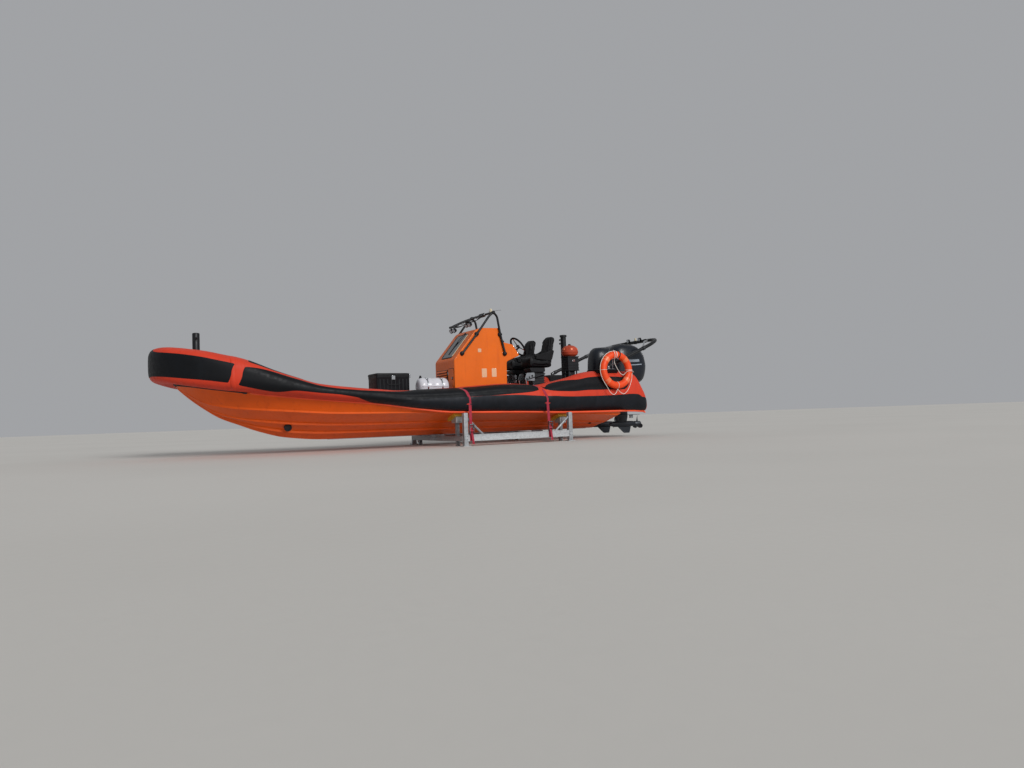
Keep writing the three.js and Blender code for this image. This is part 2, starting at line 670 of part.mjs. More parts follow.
// Front view of a seat, with a narrower back that ends in a round top
function seatFront(y) {
  const arc = angles(0, Math.PI, 10).map((a) => [
    y + SEAT.waist * Math.cos(a),
    SEAT.shoulder + (SEAT.top + 1 - SEAT.shoulder) * Math.sin(a),
  ]);
  return [
    [y - SEAT.halfWidth, SEAT.low - 1],
    [y + SEAT.halfWidth, SEAT.low - 1],
    [y + SEAT.halfWidth, 1500],
    [y + SEAT.waist, 1560],
    ...arc,
    [y - SEAT.waist, 1560],
    [y - SEAT.halfWidth, 1500],
  ];
}
for (const [name, side] of both) {
  const y = side * SEAT.y;
  add(
    `seat_base_${name}`,
    join(
      block([-2120, -1820], [y - 130, y + 130], [DECK.top + GAP, 1000]),
      block([-2080, -1860], [y - 70, y + 70], [990, 1230]),
      block([-2080, -1800], [y - 120, y + 120], [1220, 1300 - GAP]),
    ),
    'black',
  );
  const profile = sideways(seatOutline, y - SEAT.halfWidth, y + SEAT.halfWidth);
  add(`seat_${name}`, common(profile, lengthways(seatFront(y), -2400, -1700)), 'cushion');
}

// Towing post with a cap and cross pins
const TOW = { x: -2780, radius: 52, top: 1940 };
add(
  'tow_post',
  join(
    block([TOW.x - 110, TOW.x + 110], [-110, 110], [DECK.top + GAP, DECK.top + 20]),
    rod([TOW.x, 0, DECK.top + 10], [TOW.x, 0, TOW.top], TOW.radius, 20),
    rod([TOW.x, 0, TOW.top - 40], [TOW.x, 0, TOW.top], 66, 20),
    ...[1780, 1850].map((z) => rod([TOW.x, 0, z], [TOW.x + 85, 0, z], 13, 10)),
  ),
  'black',
);

// Stand with a shelf, and the marker buoy stowed on it
const STAND = { x0: -2760, x1: -2520, y0: 300, y1: 540, top: 1500 };
const buoyX = (STAND.x0 + STAND.x1) / 2;
const buoyY = (STAND.y0 + STAND.y1) / 2;
add(
  'buoy_stand',
  join(
    block([STAND.x0 + 30, STAND.x1 - 30], [STAND.y0 + 30, STAND.y1 - 30], [DECK.top + GAP, STAND.top - 5]),
    block([STAND.x0, STAND.x1], [STAND.y0, STAND.y1], [1240, STAND.top]),
  ),
  'black',
);
const buoyOutline = [
  [0, STAND.top + GAP],
  [100, STAND.top + GAP],
  [140, 1525],
  [150, 1570],
  [140, 1630],
  [104, 1680],
  [45, 1704],
  [28, 1710],
  [26, 1732],
  [0, 1735],
].map(([r, z]) => new THREE.Vector2(r, z));
const buoyBody = new THREE.LatheGeometry(buoyOutline, 20).rotateX(Math.PI / 2);
add('marker_buoy', buoyBody.translate(buoyX, buoyY, 0), 'ring');

// Stern arch, folded aft over the engines, on a hinge bracket each side
const archSide = (side) => [
  [ARCH.hingeX, side * ARCH.legY, ARCH.hingeZ],
  [ARCH.hingeX - 480, side * ARCH.legY, ARCH.hingeZ + 205],
  [-4080, side * ARCH.legY, 1690],
  [-4300, side * 830, 1775],
  [-4450, side * 640, 1822],
  [-4480, side * 450, 1832],
];
const archTube = pipe([...archSide(1), ...archSide(-1).reverse()], ARCH.legRadius, 34, 8);
const LUG = { half: 20, radius: 30, pin: 9, ear: 8, play: 8 };
const archRod = (side, half, radius, sides) => {
  const y = side * ARCH.legY;
  return rod([ARCH.hingeX, y - half, ARCH.hingeZ], [ARCH.hingeX, y + half, ARCH.hingeZ], radius, sides);
};
const archFoot = (side) => archRod(side, LUG.half, LUG.radius, 20);
const archBore = (side) => archRod(side, 60, LUG.pin + PIN_PLAY, 24);
const archTrim = (side, from, to) =>
  block(
    [ARCH.hingeX - 45, ARCH.hingeX + 60],
    [side * (ARCH.legY + from), side * (ARCH.legY + to)],
    [1200, 1360],
  );
const archCuts = (side) => [archTrim(side, LUG.half, 60), archTrim(side, -60, -LUG.half), archBore(side)];
add('stern_arch', cut(join(archTube, archFoot(1), archFoot(-1)), ...archCuts(1), ...archCuts(-1)), 'black');
for (const [name, side] of both) {
  const y = side * ARCH.legY;
  const inner = LUG.half + LUG.play;
  const ears = [-1, 1].map((s) =>
    block(
      [ARCH.hingeX - 22, ARCH.hingeX + 22],
      [y + s * inner, y + s * (inner + LUG.ear)],
      [POD.top + 6, ARCH.hingeZ + 20],
    ),
  );
  const pin = archRod(side, 40, LUG.pin, 24);
  const base = block([ARCH.hingeX - 45, ARCH.hingeX + 45], [y - 48, y + 48], [POD.top + GAP, POD.top + 8]);
  add(`arch_bracket_${name}`, join(...ears, pin, base), 'steel');
}

// Life ring hung on a peg outside the port quarter
const ringLean = (RING.lean * Math.PI) / 180;
const ringBody = new THREE.TorusGeometry(RING.majorRadius, RING.tubeRadius, 10, 28);
ringBody.rotateX(Math.PI / 2 + ringLean).translate(RING.x, RING.y, RING.z);
add('life_ring', ringBody, 'ring');
const pegRadius = 10;
const pegZ = RING.z + (RING.majorRadius - RING.tubeRadius) * Math.cos(ringLean) - pegRadius - GAP;
add(
  'ring_peg',
  join(
    block([RING.x - 28, RING.x + 28], [952, 989], [POD.top + GAP, POD.top + 7]),
    rod([RING.x, 984, POD.top + 3], [RING.x, 984, pegZ + 4], 6, 12),
    rod([RING.x, 979, pegZ], [RING.x, 1150, pegZ], pegRadius, 12),
  ),
  'steel',
);

// Grab line of the life ring: tied at the top, bow side, bottom and stern side, slack in between.
// Each point is its distance towards the bow and up from the ring's middle, and out from the ring's plane.
const RING_LINE = { radius: 4.5, away: 345.8, steps: 84 };
const ringSide = [90, 68, 46, 23, 0, -18].map((degrees) => {
  const a = (degrees * Math.PI) / 180;
  return [RING_LINE.away * Math.cos(a), RING_LINE.away * Math.sin(a), 0];
});
const ringLineRoute = [
  ...ringSide,
  [288, -210, 9],
  [242, -288, 15],
  [177, -391, 13],
  [101, -439, 9],
  [36, -398, 4],
  [0, -347, 0],
  [-42, -391, 4],
  [-118, -430, 9],
  [-195, -383, 13],
  [-262, -288, 15],
  [-317, -172, 11],
  [-345, -63, 6],
  [-336, -38, 53],
  [-274, -26, 77],
  [-210, -29, 53],
  [-189, -56, 15],
  [-141, -90, 6],
  [-80, -56, 4],
  [-27, 18, 4],
  [18, 99, 6],
  [40, 167, 15],
  [51, 205, 53],
  [57, 269, 77],
  [58, 333, 53],
  [45, 353, 11],
];
const ringPoint = ([toBow, up, out]) => [
  RING.x + toBow,
  RING.y - up * Math.sin(ringLean) + out * Math.cos(ringLean),
  RING.z + up * Math.cos(ringLean) + out * Math.sin(ringLean),
];
add('ring_line', pipe(ringLineRoute.map(ringPoint), RING_LINE.radius, RING_LINE.steps, 8), 'white');

// Outboard engines: clamp, swivel, head and leg, propeller
const E = ENGINE;
const SWIVEL = { half: 55, top: 965, low: 520, fore: -3415, aft: -3600, tiltPin: 16, kingPin: 20 };
const CLAMP = { inner: 62, outer: 78, half: 95, top: 966, low: 610 };

function engineClamp(y) {
  const plates = [-1, 1].map((s) => {
    const across = [y + s * CLAMP.inner, y + s * CLAMP.outer];
    return block([transomBack - 20, -3500], across, [CLAMP.low + 60, CLAMP.top]);
  });
  const across = [y - CLAMP.half, y + CLAMP.half];
  const { top } = TRANSOM;
  const back = block([transomBack - 25, transomBack - GAP], across, [CLAMP.low, top]);
  const hook = block([transomBack - 25, TRANSOM.x + 20], across, [top + GAP, top + 14]);
  const grip = block([TRANSOM.x + GAP, TRANSOM.x + 20], across, [DECK.top + 30, top + 10]);
  const rise = block([transomBack - 25, transomBack - 5], across, [top - 20, top + 10]);
  const reach = CLAMP.outer + 12;
  const tube = rod([E.tiltX, y - reach, E.tiltZ], [E.tiltX, y + reach, E.tiltZ], SWIVEL.tiltPin, 24);
  return join(back, rise, hook, grip, ...plates, tube);
}

function engineSwivel(y) {
  const outline = [
    [SWIVEL.aft, SWIVEL.low],
    [SWIVEL.aft + 90, SWIVEL.low],
    [SWIVEL.fore, 880],
    [SWIVEL.fore, SWIVEL.top],
    [SWIVEL.aft, SWIVEL.top],
  ];
  return cut(
    sideways(outline, y - SWIVEL.half, y + SWIVEL.half),
    rod([E.tiltX, y - 80, E.tiltZ], [E.tiltX, y + 80, E.tiltZ], SWIVEL.tiltPin + PIN_PLAY, 24),
    rod([E.steerX, y, SWIVEL.low - 20], [E.steerX, y, SWIVEL.top + 20], SWIVEL.kingPin + PIN_PLAY, 24),
  );
}

const COWL_LEVELS = [
  { z: 1000, fore: -3605, aft: -4180, half: 150 },
  { z: 1060, fore: -3590, aft: -4290, half: 190 },
  { z: 1180, fore: -3585, aft: -4345, half: 214 },
  { z: 1330, fore: -3590, aft: -4370, half: 220 },
  { z: 1480, fore: -3600, aft: -4345, half: 214 },
  { z: 1600, fore: -3620, aft: -4280, half: 196 },
  { z: 1690, fore: -3660, aft: -4190, half: 162 },
  { z: 1745, fore: -3730, aft: -4060, half: 105 },
];
const COWL_SIDES = 20;
function engineCowl(y) {
  return loft(
    COWL_LEVELS.map(({ z, fore, aft, half }) => {
      const middle = (fore + aft) / 2;
      const reach = (fore - aft) / 2;
      return Array.from({ length: COWL_SIDES }, (_, i) => {
        const angle = (2 * Math.PI * i) / COWL_SIDES;
        const c = Math.cos(angle);
        const s = Math.sin(angle);
        const out = half * Math.sign(s) * Math.abs(s) ** 0.72;
        return [middle + reach * Math.sign(c) * Math.abs(c) ** 0.72, y + out, z];
      });
    }),
  );
}

function engineLeg(y) {
  const housing = loft(
    [
      { z: 280, fore: -3690, aft: -3930, half: 38 },
      { z: 400, fore: -3660, aft: -3960, half: 55 },
      { z: 560, fore: -3640, aft: -3950, half: 80 },
      { z: 900, fore: -3630, aft: -3990, half: 90 },
      { z: 999.5, fore: -3630, aft: -4060, half: 110 },
    ].map(({ z, fore, aft, half }) => {
      const nose = (fore - aft) / 4;
      const outline = [
        [fore, half * 0.5],
        [fore - nose, half],
        [aft + nose, half],
        [aft, half * 0.25],
      ];
      return [...outline, ...outline.map(([x, w]) => [x, -w]).reverse()].map(([x, w]) => [x, y + w, z]);
    }),
  );
  const kingPin = rod([E.steerX, y, 490], [E.steerX, y, 985], SWIVEL.kingPin, 24);
  const topYoke = block([E.steerX + 45, -3700], [y - 45, y + 45], [SWIVEL.top + 8, 998]);
  const lowYoke = block([E.steerX + 40, -3700], [y - 40, y + 40], [470, 505]);
  const ventPlate = block([-3600, -4200], [y - 95, y + 95], [402, 412]);
  const torpedo = [
    rod([-3640, y, E.shaftZ], [-4060, y, E.shaftZ], 55, 16),
    rod([-3640, y, E.shaftZ], [-3520, y, E.shaftZ], 55, 16, 8),
    rod([-4059, y, E.shaftZ], [-4100, y, E.shaftZ], 55, 16, 44),
    rod([-4090, y, E.shaftZ], [-4275, y, E.shaftZ], 12, 16),
  ];
  const skeg = sideways([[-3700, 200], [-3860, 62], [-3990, 62], [-4030, 200]], y - 6, y + 6);
  return join(housing, kingPin, topYoke, lowYoke, ventPlate, ...torpedo, skeg);
}

function enginePropeller(y) {
  const hub = new THREE.CylinderGeometry(42, 46, 140, 18).rotateZ(Math.PI / 2);
  const blades = [0, 1, 2].map((i) => {
    const outline = new THREE.Shape();
    outline.moveTo(-32, 30);
    outline.quadraticCurveTo(-78, 105, -20, ENGINE.propRadius);
    outline.quadraticCurveTo(62, 130, 32, 30);
    const blade = new THREE.ExtrudeGeometry(outline, { depth: 6, bevelEnabled: false, curveSegments: 5 });
    return blade.translate(0, 0, -3).rotateY(Math.PI / 5).rotateX((2 * Math.PI * i) / 3);
  });
  const bore = new THREE.CylinderGeometry(12 + PIN_PLAY, 12 + PIN_PLAY, 200, 16).rotateZ(Math.PI / 2);
  return cut(join(hub, ...blades), bore).translate(-4180, y, E.shaftZ);
}

for (const [name, side] of both) {
  const y = side * E.offsetY;
  add(`engine_clamp_${name}`, engineClamp(y), 'engine');
  add(`engine_swivel_${name}`, engineSwivel(y), 'engine');
  add(`engine_cowl_${name}`, engineCowl(y), 'engine');
  add(`engine_leg_${name}`, engineLeg(y), 'engine');
  add(`propeller_${name}`, enginePropeller(y), 'steel');
}

// Cradle: a frame along each side, a cross frame under each post pair and four padded arms
const C = CRADLE;
const halfPost = C.post / 2;
const postTop = { front: 528, rear: 488 };
function sideFrame(side) {
  const y = side * C.postY;
  const ys = [y - halfPost, y + halfPost];
  const post = (x, top) => block([x - halfPost, x + halfPost], ys, [0, top]);
  const foot = (x) => block([x - 65, x + 65], [y - 65, y + 65], [0, 10]);
  const beam = block([C.rearX, C.frontX], [y - 30, y + 30], [C.beamLow, 185]);
  const brace = (from, to) => rod(from, to, 20, 8);
  return join(
    post(C.frontX, postTop.front),
    post(C.rearX, postTop.rear),
    foot(C.frontX),
    foot(C.rearX),
    beam,
    brace([C.frontX - 20, y, 460], [C.frontX - 320, y, 170]),
    brace([C.rearX + 20, y, 420], [C.rearX + 300, y, 170]),
  );
}

const PAD = { y: 800, halfLong: 110, halfWide: 130, thick: 45, low: 330 };
const hullUnder = (x, y) => {
  const [y1, z1] = [hullAt('rail2Y', x), hullAt('rail2Z', x)];
  const [y2, z2] = [hullAt('chineY', x), hullAt('chineZ', x)];
  return z1 + ((y - y1) / (y2 - y1)) * (z2 - z1);
};
const padBlank = (x, side) =>
  sideways(
    [
      [x - PAD.halfLong, PAD.low],
      [x + PAD.halfLong, PAD.low],
      [x + PAD.halfLong, hullAt('edgeZ', x) - 25],
      [x - PAD.halfLong, hullAt('edgeZ', x) - 25],
    ],
    side * PAD.y - PAD.halfWide,
    side * PAD.y + PAD.halfWide,
  );
const hullDropped = hullSolid.clone().translate(0, 0, -GAP);

// All that lies between a level and the slope of a pad's underside
function padSlope(x, side, level, drop) {
  const edge = (y) => hullUnder(x, y) - drop;
  const [near, far] = [PAD.y - PAD.halfWide - 20, PAD.y + PAD.halfWide + 20];
  const outline = [
    [side * near, level],
    [side * far, level],
    [side * far, edge(far)],
    [side * near, edge(near)],
  ];
  return lengthways(side * (edge(near) - level) > 0 ? outline : outline.reverse(), x - 200, x + 200);
}
const padSlab = (x, side) => cut(padBlank(x, side), hullDropped, padSlope(x, side, 200, PAD.thick));

function crossFrame(x) {
  const beamEnd = C.postY - halfPost - GAP;
  const beam = block([x - 40, x + 40], [-beamEnd, beamEnd], [C.beamLow, C.beamHigh]);
  const keelSeatTop = hullAt('keel', x) - KEEL_STRIP.thick - 2 * GAP;
  const keelSeat = block([x - 90, x + 90], [-60, 60], [C.beamHigh - 10, keelSeatTop]);
  const arms = both.flatMap(([, side]) => {
    const y = side * PAD.y;
    const under = hullUnder(x, PAD.y) - PAD.thick - GAP;
    const leg = block([x - 28, x + 28], [y - 28, y + 28], [0, under - 60]);
    const head = block([x - 60, x + 60], [y - 90, y + 90], [under - 75, 520]);
    return [leg, cut(head, padSlope(x, side, 900, PAD.thick + GAP))];
  });
  return join(beam, keelSeat, ...arms);
}

for (const [name, side] of both) {
  add(`cradle_side_${name}`, sideFrame(side), 'galvanised');
}
for (const [name, x] of [
  ['front', C.frontX],
  ['rear', C.rearX],
]) {
  add(`cradle_cross_${name}`, crossFrame(x), 'galvanised');
  for (const [hand, side] of both) add(`cradle_pad_${name}_${hand}`, padSlab(x, side), 'yellow');
}

// Lashing straps from the deck over the tube to the cradle's side frame
const STRAP = { width: 48, thick: 3, lift: 5 };
function ribbon(points) {
  const rings = points.map(([x, y, z], i) => {
    const before = points[Math.max(0, i - 1)];
    const after = points[Math.min(points.length - 1, i + 1)];
    const run = new THREE.Vector2(after[1] - before[1], after[2] - before[2]).normalize();
    const [ny, nz] = [(run.y * STRAP.thick) / 2, (-run.x * STRAP.thick) / 2];
    const w = STRAP.width / 2;
    return [
      [x - w, y - ny, z - nz],
      [x + w, y - ny, z - nz],
      [x + w, y + ny, z + nz],
      [x - w, y + ny, z + nz],
    ];
  });
  return loft(rings);
}

function strapPath({ top, low, end }) {
  const share = (z) => Math.min(1, Math.max(0, (DECK.top + 130 - z) / (DECK.top + 130 - end)));
  const xAt = (z) => top + (low - top) * share(z);
  const points = [9, 8, 7, 6, 5, 4, 3, 2, 1, 0].map((i) => {
    const x = xAt(tubeRing(straightPlace(top), -STRAP.lift)[i][2]);
    return tubeRing(straightPlace(x), -STRAP.lift)[i];
  });
  const first = [xAt(DECK.top), points[0][1] - 8, DECK.top + 3];
  const last = [xAt(end), C.postY + 30 + STRAP.thick / 2 + GAP, end];
  return [first, ...points, last];
}
const STRAPS = { fore: { top: -110, low: -250, end: 100 }, aft: { top: -1500, low: -1720, end: 100 } };
for (const [name, strap] of Object.entries(STRAPS)) {
  for (const [hand, side] of both) {
    add(`strap_${name}_${hand}`, onSide(ribbon(strapPath(strap)), side), 'webbing');
  }
}

export default boat;
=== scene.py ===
"""Rigid inflatable boat on its cradle, dressed for rendering round a fixed frame.

Lengths are millimetres in the boat's own frame unless a name says otherwise:
+X to the bow, +Y to port, z = 0 on the floor under the cradle.
"""

import functools
import math
from bisect import bisect_right

import bmesh
import bpy
from bpy.props import FloatProperty, FloatVectorProperty, PointerProperty
from bpy.types import Operator, Panel, PropertyGroup
from mathutils import Matrix, Vector, noise


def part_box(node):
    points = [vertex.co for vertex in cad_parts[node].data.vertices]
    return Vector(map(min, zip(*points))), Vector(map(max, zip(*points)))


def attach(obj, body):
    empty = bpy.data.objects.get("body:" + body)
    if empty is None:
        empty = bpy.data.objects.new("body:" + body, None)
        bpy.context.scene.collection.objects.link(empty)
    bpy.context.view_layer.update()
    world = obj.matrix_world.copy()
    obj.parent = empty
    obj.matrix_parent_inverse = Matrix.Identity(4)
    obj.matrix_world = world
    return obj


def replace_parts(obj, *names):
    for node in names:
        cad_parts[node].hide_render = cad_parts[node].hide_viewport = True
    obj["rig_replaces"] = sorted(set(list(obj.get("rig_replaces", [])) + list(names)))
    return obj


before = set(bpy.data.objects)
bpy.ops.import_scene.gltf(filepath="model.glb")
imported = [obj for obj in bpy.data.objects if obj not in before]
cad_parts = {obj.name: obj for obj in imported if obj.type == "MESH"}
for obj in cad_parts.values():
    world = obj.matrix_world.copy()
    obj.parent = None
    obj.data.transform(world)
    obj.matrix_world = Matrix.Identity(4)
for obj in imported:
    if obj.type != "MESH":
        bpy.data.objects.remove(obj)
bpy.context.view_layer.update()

bl_info = {
    "name": "Rigid inflatable boat",
    "version": (1, 0, 0),
    "blender": (4, 5, 0),
    "location": "3D View > Sidebar > Boat",
    "description": "Builds the hull, tube, fittings and cradle of a rescue boat round its frame",
    "category": "Add Mesh",
}

RAFT_CENTRE = 20  # the liferaft canister's middle in the boat's own frame ties both frames together
SHIFT = sum(corner.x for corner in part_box("liferaft_canister")) / 2 - RAFT_CENTRE / 1000
PORT, STARBOARD = 1, -1
HANDS = {PORT: "port", STARBOARD: "starboard"}
AHEAD, ASTERN, ABEAM, UP = (1, 0, 0), (-1, 0, 0), (0, 1, 0), (0, 0, 1)


def metres(point):
    """A point of the boat's own frame, in metres of the shared frame."""
    return Vector((point[0] / 1000 + SHIFT, point[1] / 1000, point[2] / 1000))


# Materials


def rgb(code):
    """Linear colour of an sRGB hex code."""
    parts = [int(code[i : i + 2], 16) / 255 for i in (0, 2, 4)]
    return [c / 12.92 if c <= 0.04045 else ((c + 0.055) / 1.055) ** 2.4 for c in parts] + [1.0]


def colour_choice(name, code, description):
    return FloatVectorProperty(
        name=name, description=description, subtype="COLOR", size=4, min=0.0, max=1.0, default=rgb(code)
    )


def length_choice(name, millimetres, description):
    return FloatProperty(
        name=name, description=description, subtype="DISTANCE", unit="LENGTH", min=0.0, default=millimetres / 1000
    )


class BoatColours(PropertyGroup):
    """Colours of the boat's finishes"""

    hull: colour_choice("Hull", "E85D04", "Gelcoat of the hull and transom")
    console: colour_choice("Console", "E66A0A", "Gelcoat of the console")
    tube: colour_choice("Tube", "D23C22", "Cloth of the inflatable tube")
    patches: colour_choice("Tube panels", "07090D", "Black panels glued on the tube")
    band: colour_choice("Rubbing band", "101319", "Rubber band along the tube's outer side")
    strake: colour_choice("Strake", "FA4F1C", "Half-round strake under the tube")
    deck: colour_choice("Deck", "484C50", "Non-slip deck")
    cowls: colour_choice("Engines", "0D131C", "Enamel of the engine cowls")
    stripes: colour_choice("Engine stripes", "9BA4AE", "Film stripes on the cowls")
    seats: colour_choice("Seats", "07080B", "Vinyl of the seats")
    canister: colour_choice("Canister", "D4D5DC", "Shell of the liferaft canister")
    ring: colour_choice("Life ring", "F24C16", "Skin of the life ring and marker buoy")
    lashings: colour_choice("Lashings", "A8263C", "Webbing of the lashing straps")
    cradle: colour_choice("Cradle", "9A9DA0", "Galvanised steel of the cradle")
    pads: colour_choice("Cradle pads", "DDA92C", "Cast pads under the hull")


class BoatSizes(PropertyGroup):
    """Sizes of the parts that are fitted round the frame"""

    rail_ledge: length_choice("Spray rail", 52, "Width of the hull's spray rails")
    strake_radius: length_choice("Strake radius", 17, "Radius of the strake under the tube")
    panel_lift: length_choice("Panel thickness", 2.5, "How far the black panels stand off the tube")
    tube_fold: length_choice("Tube fold", 13, "Depth of the fold along the soft part of the tube")
    console_edge: length_choice("Console edge", 16, "Radius of the console's moulded edges")
    wheel_grip: length_choice("Wheel grip", 17, "Radius of the steering wheel's rim")
    lamp_radius: length_choice("Lamp radius", 40, "Radius of the work lamps on the mast")
    seat_swell: length_choice("Seat swell", 12, "How far the seats' foam may push the vinyl out")
    strap_width: length_choice("Strap width", 48, "Width of the lashing webbing")
    bolt_radius: length_choice("Cradle bolts", 7, "Radius of the cradle's bolt heads")


def mm(key):
    """One of the chosen sizes, in millimetres."""
    return getattr(bpy.context.scene.boat_sizes, key) * 1000


def tones(colours):
    """Two linear colours, from two hex codes or from a chosen colour and the shade that it drifts to."""
    first, second = colours
    if isinstance(second, str):
        return rgb(first), rgb(second)
    colour = list(getattr(bpy.context.scene.boat_colours, first))
    return colour, [c * second for c in colour[:3]] + [1.0]


def node(tree, kind, inputs=None, **settings):
    """Adds a shader node with its settings, and sets or links its inputs."""
    made = tree.nodes.new("ShaderNode" + kind)
    for key, value in settings.items():
        setattr(made, key, value)
    for key, value in (inputs or {}).items():
        if isinstance(value, bpy.types.NodeSocket):
            tree.links.new(value, made.inputs[key])
        else:
            made.inputs[key].default_value = value
    return made


MIX_SHARE, MIX_A, MIX_B, MIX_OUT = 0, 6, 7, 2  # sockets of a Mix node that mixes colours
VALUE, FROM_LOW, FROM_HIGH, TO_LOW, TO_HIGH = range(5)  # inputs of a Map Range node
CELL_WALL_STEEPNESS, STUD_REACH, STUD_JITTER = 4.0, 0.36, 0.1
WEAVE_TURN, WEAVE_SCALE = (0.6, 0.5, math.pi / 4), 0.31


def grain_height(tree, place, kind, size):
    """Height of one surface pattern, from 0 to 1. size is its real repeat in millimetres."""
    pattern = {"Vector": place, "Scale": 1000 / size}
    if kind == "cells":
        edge = node(tree, "TexVoronoi", pattern, feature="DISTANCE_TO_EDGE").outputs[0]
        wall = {0: edge, 1: CELL_WALL_STEEPNESS}
        return node(tree, "Math", wall, operation="MULTIPLY", use_clamp=True).outputs[0]
    if kind == "studs":
        dots = node(tree, "TexVoronoi", pattern | {"Randomness": STUD_JITTER}, feature="F1").outputs[0]
        return node(tree, "Math", {0: dots, 1: STUD_REACH}, operation="LESS_THAN").outputs[0]
    if kind == "woven":
        # Threads along two diagonals that pass over and under each other
        turned = node(tree, "Mapping", {"Vector": place, "Rotation": WEAVE_TURN}).outputs[0]
        thread = {"Vector": turned, "Scale": pattern["Scale"] * WEAVE_SCALE}
        over, under = (
            node(tree, "TexWave", thread, wave_type="BANDS", bands_direction=way, wave_profile="SIN").outputs[1]
            for way in "XY"
        )
        return node(tree, "Math", {0: over, 1: under}, operation="MULTIPLY").outputs[0]
    if kind == "brushed":
        pattern["Vector"] = node(tree, "Mapping", {"Vector": place, "Scale": (0.04, 1.0, 1.0)}).outputs[0]
    return node(tree, "TexNoise", pattern | {"Detail": 2.0}).outputs[0]


DUST_COLOUR = "B9AE9C"
SMOOTHEST, ROUGHEST = 0.85, 1.25  # how far a finish's roughness varies over it


def surface(
    name, colours, roughness, metallic=0.0, ior=1.5, coat=0.0, sheen=0.0, mottle=300, grain=("peel", 4, 0.05),
    wear=None, dust=0.0, streaks=None,
):
    """A finish with two drifting colours, a surface grain, worn edges, settled dust and run marks.

    mottle is the size of the colour drift, grain is (kind, size, depth), all in millimetres.
    wear is the colour of bare edges and streaks that of run marks. dust is the share of pale dust on tops.
    """
    made = bpy.data.materials.new(name)
    made.use_nodes = True
    tree = made.node_tree
    shader = tree.nodes["Principled BSDF"]
    place = node(tree, "TexCoord").outputs["Object"]
    main, other = tones(colours)
    drift = node(tree, "TexNoise", {"Vector": place, "Scale": 1000 / mottle, "Detail": 5.0}).outputs[0]
    share = node(tree, "MapRange", {VALUE: drift, FROM_LOW: 0.38, FROM_HIGH: 0.66}).outputs[0]
    layers = [(share, other)]
    if streaks:
        drawn = node(tree, "Mapping", {"Vector": place, "Scale": (1.0, 1.0, 0.12)}).outputs[0]
        runs = node(tree, "TexNoise", {"Vector": drawn, "Scale": 14.0, "Detail": 4.0}).outputs[0]
        amount = node(tree, "MapRange", {VALUE: runs, FROM_LOW: 0.56, FROM_HIGH: 0.78, TO_HIGH: 0.45})
        layers.append((amount.outputs[0], rgb(streaks)))
    if wear:
        point = node(tree, "NewGeometry").outputs["Pointiness"]
        rubbed = node(tree, "MapRange", {VALUE: point, FROM_LOW: 0.53, FROM_HIGH: 0.6, TO_HIGH: 0.6}).outputs[0]
        chips = node(tree, "TexNoise", {"Vector": place, "Scale": 60.0, "Detail": 3.0}).outputs[0]
        layers.append((node(tree, "Math", {0: rubbed, 1: chips}, operation="MULTIPLY").outputs[0], rgb(wear)))
    if dust:
        upward = node(tree, "SeparateXYZ", {0: node(tree, "TexCoord").outputs["Normal"]}).outputs["Z"]
        specks = node(tree, "TexNoise", {"Vector": place, "Scale": 9.0, "Detail": 6.0}).outputs[0]
        settled = node(tree, "Math", {0: upward, 1: specks}, operation="MULTIPLY", use_clamp=True).outputs[0]
        amount = node(tree, "MapRange", {VALUE: settled, FROM_LOW: 0.3, FROM_HIGH: 0.8, TO_HIGH: dust})
        layers.append((amount.outputs[0], rgb(DUST_COLOUR)))
    colour = main
    for share, over in layers:
        mixed = node(tree, "Mix", {MIX_SHARE: share, MIX_A: colour, MIX_B: over}, data_type="RGBA")
        colour = mixed.outputs[MIX_OUT]
    rubs = node(tree, "TexNoise", {"Vector": place, "Scale": 22.0, "Detail": 4.0}).outputs[0]
    least, most = roughness * SMOOTHEST, min(1.0, roughness * ROUGHEST)
    gloss = node(tree, "MapRange", {VALUE: rubs, FROM_LOW: 0.3, FROM_HIGH: 0.7, TO_LOW: least, TO_HIGH: most})
    kind, size, depth = grain
    height = grain_height(tree, place, kind, size)
    bump = node(tree, "Bump", {"Height": height, "Distance": depth / 1000, "Strength": 0.8})
    for key, socket in (("Base Color", colour), ("Roughness", gloss.outputs[0]), ("Normal", bump.outputs[0])):
        tree.links.new(socket, shader.inputs[key])
    values = {"Metallic": metallic, "Coat Weight": coat, "Coat Roughness": 0.08, "Sheen Weight": sheen}
    if not metallic:
        values["IOR"] = ior
    for key, value in values.items():
        shader.inputs[key].default_value = value
    return made


def finish_of(name, colours, roughness, **more):
    """A finish by its name, its colours and its look, made when it is first used."""
    return functools.cache(lambda: surface(name, colours, roughness, **more))


# Polyester gelcoat from a polished mould: even strong colour, a wet gloss and dull runs of dirt
gelcoat = finish_of(
    "moulded_polyester_gelcoat", ("hull", 0.9), 0.36, ior=1.38, coat=0.08, grain=("peel", 12, 0.12), dust=0.02,
    streaks="B8400A",
)

# The same gelcoat in a yellower batch, washed oftener: even and glossy with faint runs
console_gelcoat = finish_of(
    "moulded_console_gelcoat", ("console", 0.92), 0.38, ior=1.36, coat=0.05, grain=("peel", 12, 0.12), dust=0.02,
    streaks="C8560C",
)

# Coated tube cloth, glued in panels: satin rubber face, chalky in patches, the cloth's weave just felt.
# The real thread is under 1 mm, drawn at 5 mm so that it shows
tube_cloth = finish_of(
    "coated_tube_cloth", ("tube", 0.86), 0.55, ior=1.36, mottle=450, grain=("woven", 5, 0.12), dust=0.05,
    streaks="A93020",
)

# The same cloth in black, rubbed by feet and lines: dark satin with grey bloom.
# Thread drawn at 5 mm so that it shows
patch_cloth = finish_of(
    "black_tube_cloth", ("patches", 1.5), 0.5, ior=1.3, mottle=260, grain=("woven", 5, 0.14), wear="1C2026",
    dust=0.012, streaks="0D1118",
)

